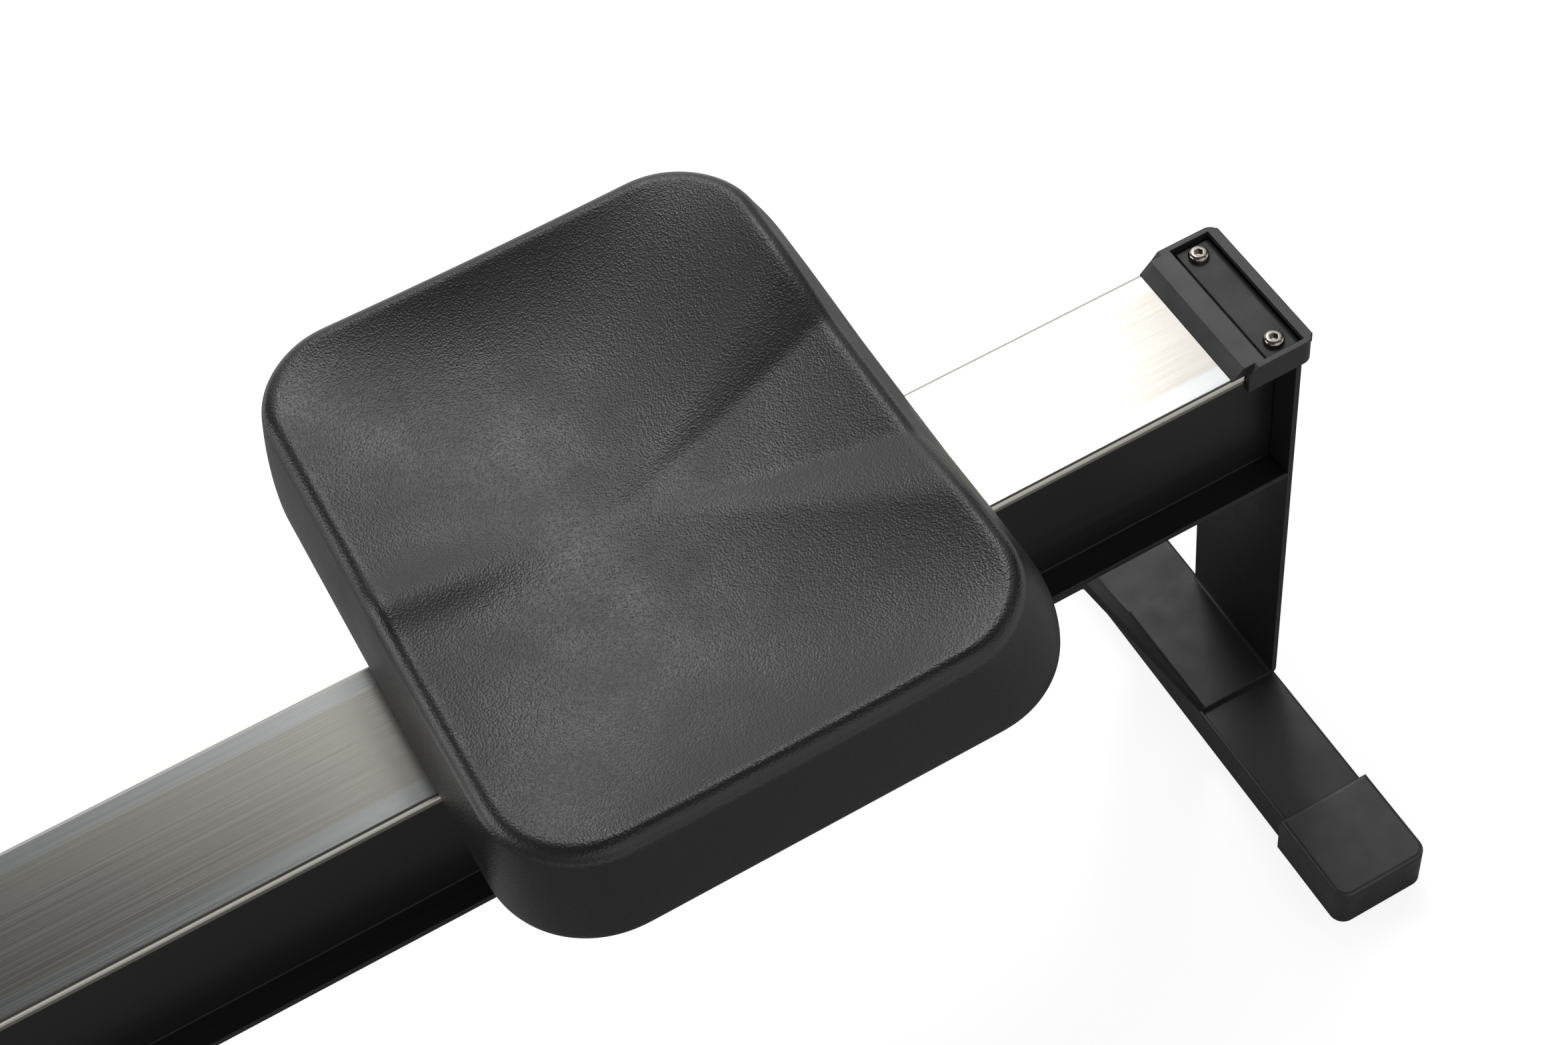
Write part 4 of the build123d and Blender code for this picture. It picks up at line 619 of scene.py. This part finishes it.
screenLook = {
    "colour": (0.92, 0.95, 0.94),
    "rough": 0.06,
    "wear": (0.02, 0.06),
    "smear": (40, 4),
    "bend": 1.49,  # acrylic's refraction
    "edge": 0.0004,
}


def clearScreen(name):
    look = screenLook
    material, nodes, links, surface = startMaterial(name, look["colour"], look["rough"])
    surface.inputs["Transmission Weight"].default_value = 1.0
    surface.inputs["IOR"].default_value = look["bend"]
    smear = noise(nodes, links, objectPlace(nodes, links), *look["smear"])
    roughen(nodes, links, surface, smear, look["rough"], look["wear"])
    links.new(softEdge(nodes, look["edge"]), surface.inputs["Normal"])
    return material


def plainFinish(name, look):
    material, nodes, links, surface = startMaterial(name, look["colour"], look["rough"])
    patch = noise(nodes, links, objectPlace(nodes, links), *look["patch"])
    tint(nodes, links, surface, spread(nodes, links, patch), look)
    roughen(nodes, links, surface, patch, look["rough"], look["wear"])
    return material


finishMaker = {
    "beam_black": anodisedBeam,
    "strip_steel": brushedStrip,
    "frame_paint": powderCoat,
    "seat_foam": seatSkin,
    "strap_web": wovenWebbing,
    "screen_glass": clearScreen,
}
for looks, maker in ((plasticLook, mouldedPlastic), (metalLook, turnedMetal), (rubberLook, rubber)):
    for name in looks:
        finishMaker[name] = maker

finish = {}
for name in sorted({part["material_slot"] for part in frame["record"]["subparts"]}):
    finish[name] = finishMaker[name](name)
for part in frame["record"]["subparts"]:
    mesh = frame["nodes"][part["node"]].data
    mesh.materials.clear()
    mesh.materials.append(finish[part["material_slot"]])
print("materials made and given to the CAD pieces")

bpy.context.scene.view_settings.view_transform = "Standard"
makeCamera()
makeLight()
makeFloor()
print("camera, light and floor made")

# Shared modelling helpers


def finishPiece(shape, name, slotName, body, smooth=True, material=None):
    mesh = bpy.data.meshes.new(name)
    bmesh.ops.recalc_face_normals(shape, faces=shape.faces)
    for face in shape.faces:
        face.smooth = smooth
    shape.to_mesh(mesh)
    shape.free()
    mesh.materials.append(material or finish[slotName])
    piece = bpy.data.objects.new(name, mesh)
    bpy.context.scene.collection.objects.link(piece)
    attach(piece, body)
    return piece


def smoothstep(low, high, value):
    share = min(1.0, max(0.0, (value - low) / (high - low)))
    return share * share * (3 - 2 * share)


def gauss(value, width):
    return math.exp(-((value / width) ** 2))


# Seat cushion

seatLook = {
    # outlines about the seat's own middle: centre along the rail, half length, half width, corner
    "top": (-0.0042, 0.1236, 0.1575, 0.046),
    "foot": (0.0, 0.1340, 0.1597, 0.050),
    "grid": (60, 84),
    "depth": 0.0175,  # of the dish below its rims
    "sideShape": 3.4,  # higher keeps the dish flat for longer towards the sides
    "ridge": 0.0028,  # at the front, in the middle
    "ridgeWidth": 0.013,
    "ridgeFrom": (-0.035, -0.100),
    "ridgeTo": (-0.132, -0.118),
    "channelRim": 0.0088,  # how far below the rim the channel's floor ends at the rear
    "channelDrop": 0.0098,  # how much lower it starts
    "channelFrom": (-0.030, 0.040),
    "channelPlace": 0.035,  # behind the middle, where its two half widths are given
    # least half width, half width at that place, and how fast it grows
    "channelInner": (0.004, 0.014, 0.30),
    "channelOuter": (0.012, 0.032, 0.66),
    "floorShape": 2.4,
    "wallShape": 1.5,
    "edgeRound": 0.008,
    "edgeTurn": 84.0,
    "edgeRows": 6,
    "skirtRows": 8,
    "skirtShape": 1.8,
    "footRound": 0.006,
    "footRows": 4,
    "pocket": (0.106, 0.063, 0.023),  # half length, half width and depth, over the steel plate
}


def seatRise(u, v):
    # height of the top over its rim, a distance u behind the middle and v to the left
    look = seatLook
    centre, half, side = look["top"][:3]
    along = min(1.0, abs(u - centre) / half) ** 2
    across = min(1.0, abs(v) / side) ** look["sideShape"]
    rise = -look["depth"] * (1 - along) * (1 - across)
    crest = smoothstep(*look["ridgeFrom"], u) * smoothstep(*look["ridgeTo"], u)
    rise += look["ridge"] * crest * gauss(v, look["ridgeWidth"])
    # tailbone channel, with walls that turn up sharply from its floor
    behind = u - look["channelPlace"]
    inner, outer = (
        max(least, width + behind * growth)
        for least, width, growth in (look["channelInner"], look["channelOuter"])
    )
    wall = min(1.0, max(0.0, (abs(v) - inner) / (outer - inner)))
    share = min(1.0, max(0.0, (u - centre) / half)) ** look["floorShape"]
    floor = -look["channelRim"] - look["channelDrop"] * (1 - share)
    inside = smoothstep(*look["channelFrom"], u) * (1 - wall) ** look["wallShape"]
    return rise + inside * min(0.0, floor - rise)


def seatOutline(s, t, share, inset):
    # s and t run from -1 to 1 over a square; share is 0 at the top's outline and 1 at the foot's
    top, foot = seatLook["top"], seatLook["foot"]
    centre, halfX, halfY, corner = (high + (low - high) * share for high, low in zip(top, foot))
    halfX, halfY, corner = halfX - inset, halfY - inset, corner - inset
    x = s * halfX
    y = t * halfY
    # the corner of the square is drawn in to an arc
    overX = abs(x) - (halfX - corner)
    overY = abs(y) - (halfY - corner)
    if overX > 0 and overY > 0:
        reach = max(overX, overY) / math.hypot(overX, overY)
        x = math.copysign(halfX - corner + overX * reach, x)
        y = math.copysign(halfY - corner + overY * reach, y)
    return centre + x, y


def seatRows(height):
    # rows round the edge, down the skirt and in under it: share of the way to the foot, inset, drop
    look = seatLook
    edge, foot = look["edgeRound"], look["footRound"]
    rows = []
    for step in range(1, look["edgeRows"] + 1):
        turn = math.radians(look["edgeTurn"]) * step / look["edgeRows"]
        rows.append((0.0, edge * (1 - math.sin(turn)), edge * (1 - math.cos(turn))))
    edgeDrop = rows[-1][2]
    skirtDrop = height - foot
    for step in range(1, look["skirtRows"] + 1):
        way = step / look["skirtRows"]
        rows.append((1 - (1 - way) ** look["skirtShape"], 0.0, edgeDrop + (skirtDrop - edgeDrop) * way))
    for step in range(1, look["footRows"] + 1):
        turn = math.radians(90) * step / look["footRows"]
        rows.append((1.0, foot * (1 - math.cos(turn)), skirtDrop + foot * math.sin(turn)))
    return rows


def drawOut(shape, rim):
    # a further row of faces from an open rim; gives its outer edges and their vertices
    made = bmesh.ops.extrude_edge_only(shape, edges=rim)["geom"]
    rim = [part for part in made if isinstance(part, bmesh.types.BMEdge)]
    return rim, {end for line in rim for end in line.verts}


def makeSeat():
    look = seatLook
    low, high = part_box("seat_cushion")
    middle = (low.x + high.x) / 2
    edge = look["edgeRound"]
    shape = bmesh.new()
    bmesh.ops.create_grid(shape, x_segments=look["grid"][0], y_segments=look["grid"][1], size=1.0)
    alongX = shape.verts.layers.float.new("alongX")
    alongY = shape.verts.layers.float.new("alongY")
    for vert in shape.verts:
        vert[alongX], vert[alongY] = vert.co.x, vert.co.y
        x, y = seatOutline(vert.co.x, vert.co.y, 0.0, edge)
        vert.co = Vector((middle + x, y, high.z + seatRise(x, y)))
    rim = [line for line in shape.edges if line.is_boundary]
    for share, inset, drop in seatRows(high.z - low.z):
        rim, ends = drawOut(shape, rim)
        for vert in ends:
            x, y = seatOutline(vert[alongX], vert[alongY], share, inset)
            rise = seatRise(*seatOutline(vert[alongX], vert[alongY], 0.0, edge))
            vert.co = Vector((middle + x, y, high.z - drop + rise * (1 - share)))
    pocketX, pocketY, pocketRise = look["pocket"]
    for height in (low.z, low.z + pocketRise):
        rim, ends = drawOut(shape, rim)
        for vert in ends:
            vert.co = Vector((middle + vert[alongX] * pocketX, vert[alongY] * pocketY, height))
    bmesh.ops.contextual_create(shape, geom=rim)
    pad = finishPiece(shape, "seatPad", "seat_foam", "seat")
    finer = pad.modifiers.new("subdivision", "SUBSURF")
    finer.levels = finer.render_levels = 1
    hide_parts("seat_cushion")


makeSeat()
print("seat made")

# Straps and grips


def extendStraight(shape, tip, target):
    tip = bmesh.ops.extrude_vert_indiv(shape, verts=[tip])["verts"][0]
    tip.co = target
    return tip


def extendArc(shape, tip, centre, axis, angle, steps):
    made = bmesh.ops.spin(shape, geom=[tip], cent=centre, axis=axis, angle=angle, steps=steps)
    return made["geom_last"][0]


def bentLine(corners, radius=0.0, arcSteps=8):
    # a line through the corners, with an arc of that radius at each one
    shape = bmesh.new()
    tip = bmesh.ops.create_vert(shape, co=corners[0])["vert"][0]
    for before, corner, after in zip(corners, corners[1:], corners[2:]):
        into = (corner - before).normalized()
        out = (after - corner).normalized()
        turn = into.angle(out)
        axis = into.cross(out).normalized()
        tip = extendStraight(shape, tip, corner - into * radius * math.tan(turn / 2))
        centre = tip.co + axis.cross(into) * radius
        tip = extendArc(shape, tip, centre, axis, turn, arcSteps)
    extendStraight(shape, tip, corners[-1])
    return shape


ribbonLook = {"slot": "strap_web", "edgeShare": 0.3, "edgeSegments": 2}


def makeRibbon(shape, across, name, gauge, body):
    # the line is drawn out sideways to a strip, whose UV map is in metres for the weave
    look = ribbonLook
    along = shape.verts.layers.float.new("along")
    side = shape.verts.layers.float.new("side")
    walked = 0.0
    last = None
    for vert in shape.verts:
        if last is not None:
            walked += (vert.co - last).length
        last = vert.co
        vert[along] = walked
        vert.co = vert.co - across / 2
    made = bmesh.ops.extrude_edge_only(shape, edges=shape.edges[:])["geom"]
    for vert in made:
        if isinstance(vert, bmesh.types.BMVert):
            vert.co += across
            vert[side] = across.length
    weave = shape.loops.layers.uv.new("weave")
    for face in shape.faces:
        face.smooth = True
        for loop in face.loops:
            loop[weave].uv = (loop.vert[along], loop.vert[side])
    mesh = bpy.data.meshes.new(name)
    shape.to_mesh(mesh)
    shape.free()
    mesh.materials.append(finish[look["slot"]])
    ribbon = bpy.data.objects.new(name, mesh)
    bpy.context.scene.collection.objects.link(ribbon)
    wall = ribbon.modifiers.new("gauge", "SOLIDIFY")
    wall.thickness = gauge
    wall.offset = 0
    edge = ribbon.modifiers.new("edge", "BEVEL")
    edge.width = gauge * look["edgeShare"]
    edge.segments = look["edgeSegments"]
    edge.limit_method = "ANGLE"
    if body:
        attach(ribbon, body)
    return ribbon


pullStrapLook = {
    "gauge": 0.002,
    "width": 0.038,
    "drumLay": 0.0393,  # radius of the strap's middle on the drum
    "rollerLay": 0.0133,
    "stretchFrom": 0.003,  # past the roller's bend
    "stretchLength": 0.012,
    "foldLength": 0.026,  # the end that is turned back and sewn
    "foldShare": 0.9,  # of the gauge
}


def makePullStrap():
    look = pullStrapLook
    drum, roller = (sum(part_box(node), Vector()) / 2 for node in ("strap_drum", "guide_roller"))
    drum.y = roller.y = 0
    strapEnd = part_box("drive_strap")[1]
    height = strapEnd.z - look["gauge"] / 2
    lean = math.atan2(roller.z - drum.z, roller.x - drum.x)
    turn = lean + math.acos((look["drumLay"] - look["rollerLay"]) / (roller - drum).length)
    outward = Vector((math.cos(turn), 0, math.sin(turn)))
    start = drum + outward * look["drumLay"]
    run = roller + outward * look["rollerLay"] - start
    corner = start + run * ((height - start.z) / run.z)
    end = Vector((strapEnd.x, 0, height))
    across = Vector((0, look["width"], 0))
    line = bentLine([start, corner, end], look["rollerLay"])
    strap = makeRibbon(line, across, "pullStrap", look["gauge"], None)
    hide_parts("drive_strap")
    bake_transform(strap)
    lift = Vector((0, 0, look["gauge"]))
    fold = bentLine([end - Vector((look["foldLength"], 0, 0)) + lift, end + lift])
    makeRibbon(fold, across, "pullStrapFold", look["gauge"] * look["foldShare"], "handle")


footPlateLook = {"origin": (-0.23885, 0.101, 0.200), "lean": 45.0}


def footPlace(side, up, across, out):
    # a place on one footplate: up its slope, across it and out of its face
    look = footPlateLook
    lean = math.radians(look["lean"])
    return Vector((
        look["origin"][0] - up * math.cos(lean) + out * math.sin(lean),
        side * look["origin"][1] + across,
        look["origin"][2] + up * math.sin(lean) + out * math.cos(lean),
    ))


footStrapLook = {
    "gauge": 0.0025,
    "width": 0.038,
    "half": 0.052,  # from the plate's middle to the strap's sides
    "shoulder": 0.030,
    "crown": 0.034,
    "height": 0.062,
    "below": 0.008,
    "bend": 0.014,
    # how far the bends of the strap's middle stand off, as shares of half its gauge
    "shoulderShare": 0.6,
    "crownShare": 0.4,
    "set": 0.205,  # up the plate from its heel end
    "tail": 0.040,
    "tailFrom": 0.006,
    "tailLift": 1.02,  # these three are shares of the strap's own gauge and width
    "tailWidth": 0.96,
    "tailGauge": 0.9,
}


def makeFootStraps():
    look = footStrapLook
    mid = look["gauge"] / 2
    across = footPlace(1, look["width"], 0, 0) - footPlace(1, 0, 0, 0)
    low = -look["below"]
    side = look["half"] + mid
    shoulder = look["shoulder"] + mid * look["shoulderShare"]
    crown = look["crown"] + mid * look["crownShare"]
    top = look["height"] + mid
    for hand, name in ((1, "Left"), (-1, "Right")):
        line = ((-side, low), (-side, shoulder), (-crown, top), (crown, top), (side, shoulder), (side, low))
        corners = [footPlace(hand, look["set"], y, z) for y, z in line]
        bent = bentLine(corners, look["bend"])
        strap = makeRibbon(bent, across, "footStrap" + name, look["gauge"], "frame")
        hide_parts("foot_straps")
        # the loose end lies back over the strap on the outer side, past the buckle
        start, toward = (corners[3], corners[4]) if hand > 0 else (corners[2], corners[1])
        step = (toward - start).normalized()
        up = footPlace(hand, 0, 0, 1) - footPlace(hand, 0, 0, 0)
        off = (up - step * up.dot(step)).normalized() * look["gauge"] * look["tailLift"]
        start = start + step * look["tailFrom"] + off
        tail = bentLine([start, start + step * look["tail"]])
        width = across * look["tailWidth"]
        makeRibbon(tail, width, "footStrapTail" + name, look["gauge"] * look["tailGauge"], "frame")


gripLook = {
    "radius": 0.017,
    "bore": 0.01252,
    "length": 0.118,
    "edge": 0.0045,
    "edgeSteps": 5,
    "ribs": 15,
    "ribDepth": 0.0011,
    # share of a rib's pitch, and share of its depth
    "ribShape": ((0.55, 0), (0.68, 0.8), (0.78, 1), (0.88, 0.8), (1.0, 0)),
    "sweep": 12.0,
    "turnSteps": 40,
    "merge": 0.00002,
}


def gripForm(cap, out, sideways):
    # the profile from the bore out, along the ribs and in to the cap's middle, turned round the bar's axis
    look = gripLook
    radius, edge = look["radius"], look["edge"]
    quarter = math.radians(90)
    inner = cap - out * look["length"]
    upright = out.cross(sideways)
    shape = bmesh.new()
    tip = bmesh.ops.create_vert(shape, co=inner + sideways * look["bore"])["vert"][0]
    tip = extendStraight(shape, tip, inner + sideways * (radius - edge))
    tip = extendArc(shape, tip, tip.co + out * edge, upright, -quarter, look["edgeSteps"])
    pitch = (look["length"] - 2 * edge) / look["ribs"]
    for rib in range(look["ribs"]):
        foot = inner + out * (edge + rib * pitch)
        for share, depth in look["ribShape"]:
            spot = foot + out * pitch * share + sideways * (radius - look["ribDepth"] * depth)
            tip = extendStraight(shape, tip, spot)
    tip = extendArc(shape, tip, tip.co - sideways * edge, upright, -quarter, look["edgeSteps"])
    extendStraight(shape, tip, cap)
    bmesh.ops.spin(
        shape, geom=shape.verts[:] + shape.edges[:], cent=cap, axis=out,
        angle=math.radians(360), steps=look["turnSteps"], use_merge=True,
    )
    bmesh.ops.remove_doubles(shape, verts=shape.verts, dist=look["merge"])
    return shape


def addTo(whole, shape):
    # one form's faces are added to another's
    part = bpy.data.meshes.new("part")
    shape.to_mesh(part)
    shape.free()
    whole.from_mesh(part)
    bpy.data.meshes.remove(part)


def makeGrips():
    look = gripLook
    low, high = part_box("handle_grips")
    turn = math.radians(look["sweep"])
    whole = bmesh.new()
    for side in (1, -1):
        out = Vector((math.sin(turn), side * math.cos(turn), 0))
        sideways = Vector((math.cos(turn), -side * math.sin(turn), 0))
        # the cap's middle, found from the grips' box
        capX = high.x - look["radius"] * math.cos(turn)
        capY = side * (high.y - look["radius"] * math.sin(turn))
        addTo(whole, gripForm(Vector((capX, capY, (low.z + high.z) / 2)), out, sideways))
    grips = finishPiece(whole, "handGrips", "grip_foam", "handle")
    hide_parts("handle_grips")


makePullStrap()
makeFootStraps()
makeGrips()
print("straps and grips made")

# Display behind the monitor's glass, and the numbers beside the damper lever

letterLook = {"steps": 3, "merge": 0.00001}


def layFlat(shape, words, size, place, gauge):
    # words as a thin raised form, turned to a place and added to a shape
    curve = bpy.data.curves.new("words", "FONT")
    curve.body = words
    curve.size = size
    curve.align_x = "CENTER"
    curve.align_y = "CENTER"
    curve.resolution_u = letterLook["steps"]
    holder = bpy.data.objects.new("words", curve)
    mesh = bpy.data.meshes.new_from_object(holder)
    bpy.data.objects.remove(holder)
    bpy.data.curves.remove(curve)
    part = bmesh.new()
    part.from_mesh(mesh)
    bpy.data.meshes.remove(mesh)
    bmesh.ops.remove_doubles(part, verts=part.verts, dist=letterLook["merge"])
    made = bmesh.ops.extrude_face_region(part, geom=part.faces[:])["geom"]
    for piece in made:
        if isinstance(piece, bmesh.types.BMVert):
            piece.co.z += gauge
    part.transform(place)
    addTo(shape, part)


displayLook = {
    "lean": 20.0,
    "width": 0.1256,
    "height": 0.0736,
    "gauge": 0.0015,
    "behind": 0.00105,  # from the glass's middle to the digits' face
    "ink": 0.00025,
    "inkShare": 0.8,
    "panel": {
        "colour": (0.30, 0.34, 0.29), "light": (0.36, 0.40, 0.34),
        "rough": 0.5, "wear": (0.03, 0.05), "patch": (60, 4),
    },
    "digits": {
        "colour": (0.018, 0.020, 0.020), "light": (0.026, 0.028, 0.028),
        "rough": 0.55, "wear": (0.03, 0.05), "patch": (60, 4),
    },
    # words, letter height, across and up from the panel's middle
    "words": (
        ("2:04.8", 0.021, 0.0, 0.0185),
        ("24", 0.015, -0.040, -0.006),
        ("1 500", 0.015, 0.026, -0.006),
        ("7:52", 0.012, -0.038, -0.0265),
        ("186", 0.012, 0.030, -0.0265),
    ),
}


def makeDisplay():
    look = displayLook
    low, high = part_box("monitor_screen")
    lean = math.radians(look["lean"])
    turn = Matrix((
        (0, -math.sin(lean), math.cos(lean)),
        (1, 0, 0),
        (0, math.cos(lean), math.sin(lean)),
    )).to_4x4()
    face = Matrix.Translation((low + high) / 2) @ turn @ Matrix.Translation((0, 0, -look["behind"]))
    panel = bmesh.new()
    bmesh.ops.create_cube(panel, size=1.0)
    bmesh.ops.scale(panel, vec=(look["width"], look["height"], look["gauge"]), verts=panel.verts)
    bmesh.ops.translate(panel, vec=(0, 0, -look["gauge"] / 2 - look["ink"]), verts=panel.verts)
    panel.transform(face)
    paper = plainFinish("displayPanel", look["panel"])
    finishPiece(panel, "displayPanel", "monitor_plastic", "monitor", smooth=False, material=paper)
    digits = bmesh.new()
    for words, size, across, up in look["words"]:
        spot = face @ Matrix.Translation((across, up, -look["ink"]))
        layFlat(digits, words, size, spot, look["ink"] * look["inkShare"])
    ink = plainFinish("displayDigits", look["digits"])
    finishPiece(digits, "displayDigits", "monitor_plastic", "monitor", smooth=False, material=ink)


damperLook = {
    "first": 128.0,  # the lever's angle at rest and at its limit
    "last": 113.0,
    "reach": 0.222,
    "size": 0.0062,
    "gauge": 0.0003,
    "marks": 10,
    "ink": {
        "colour": (0.62, 0.62, 0.62), "light": (0.70, 0.70, 0.70),
        "rough": 0.5, "wear": (0.03, 0.05), "patch": (60, 4),
    },
}


def makeDamperNumbers():
    # plain numbers on the cage's face, along the lever's way
    look = damperLook
    axis = sum(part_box("fan_wheel"), Vector()) / 2
    axis.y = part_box("fan_cage_left")[1].y
    outside = Vector((0, 1, 0))
    numbers = bmesh.new()
    for mark in range(look["marks"]):
        share = mark / (look["marks"] - 1)
        angle = math.radians(look["first"] + (look["last"] - look["first"]) * share)
        out = Vector((math.cos(angle), 0, math.sin(angle)))
        turn = Matrix((out.cross(outside), out, outside)).transposed().to_4x4()
        spot = Matrix.Translation(axis + out * look["reach"]) @ turn
        layFlat(numbers, str(mark + 1), look["size"], spot, look["gauge"])
    ink = plainFinish("damperNumbers", look["ink"])
    finishPiece(numbers, "damperNumbers", "cage_plastic", "frame", smooth=False, material=ink)


makeDisplay()
makeDamperNumbers()
print("display and numbers made")
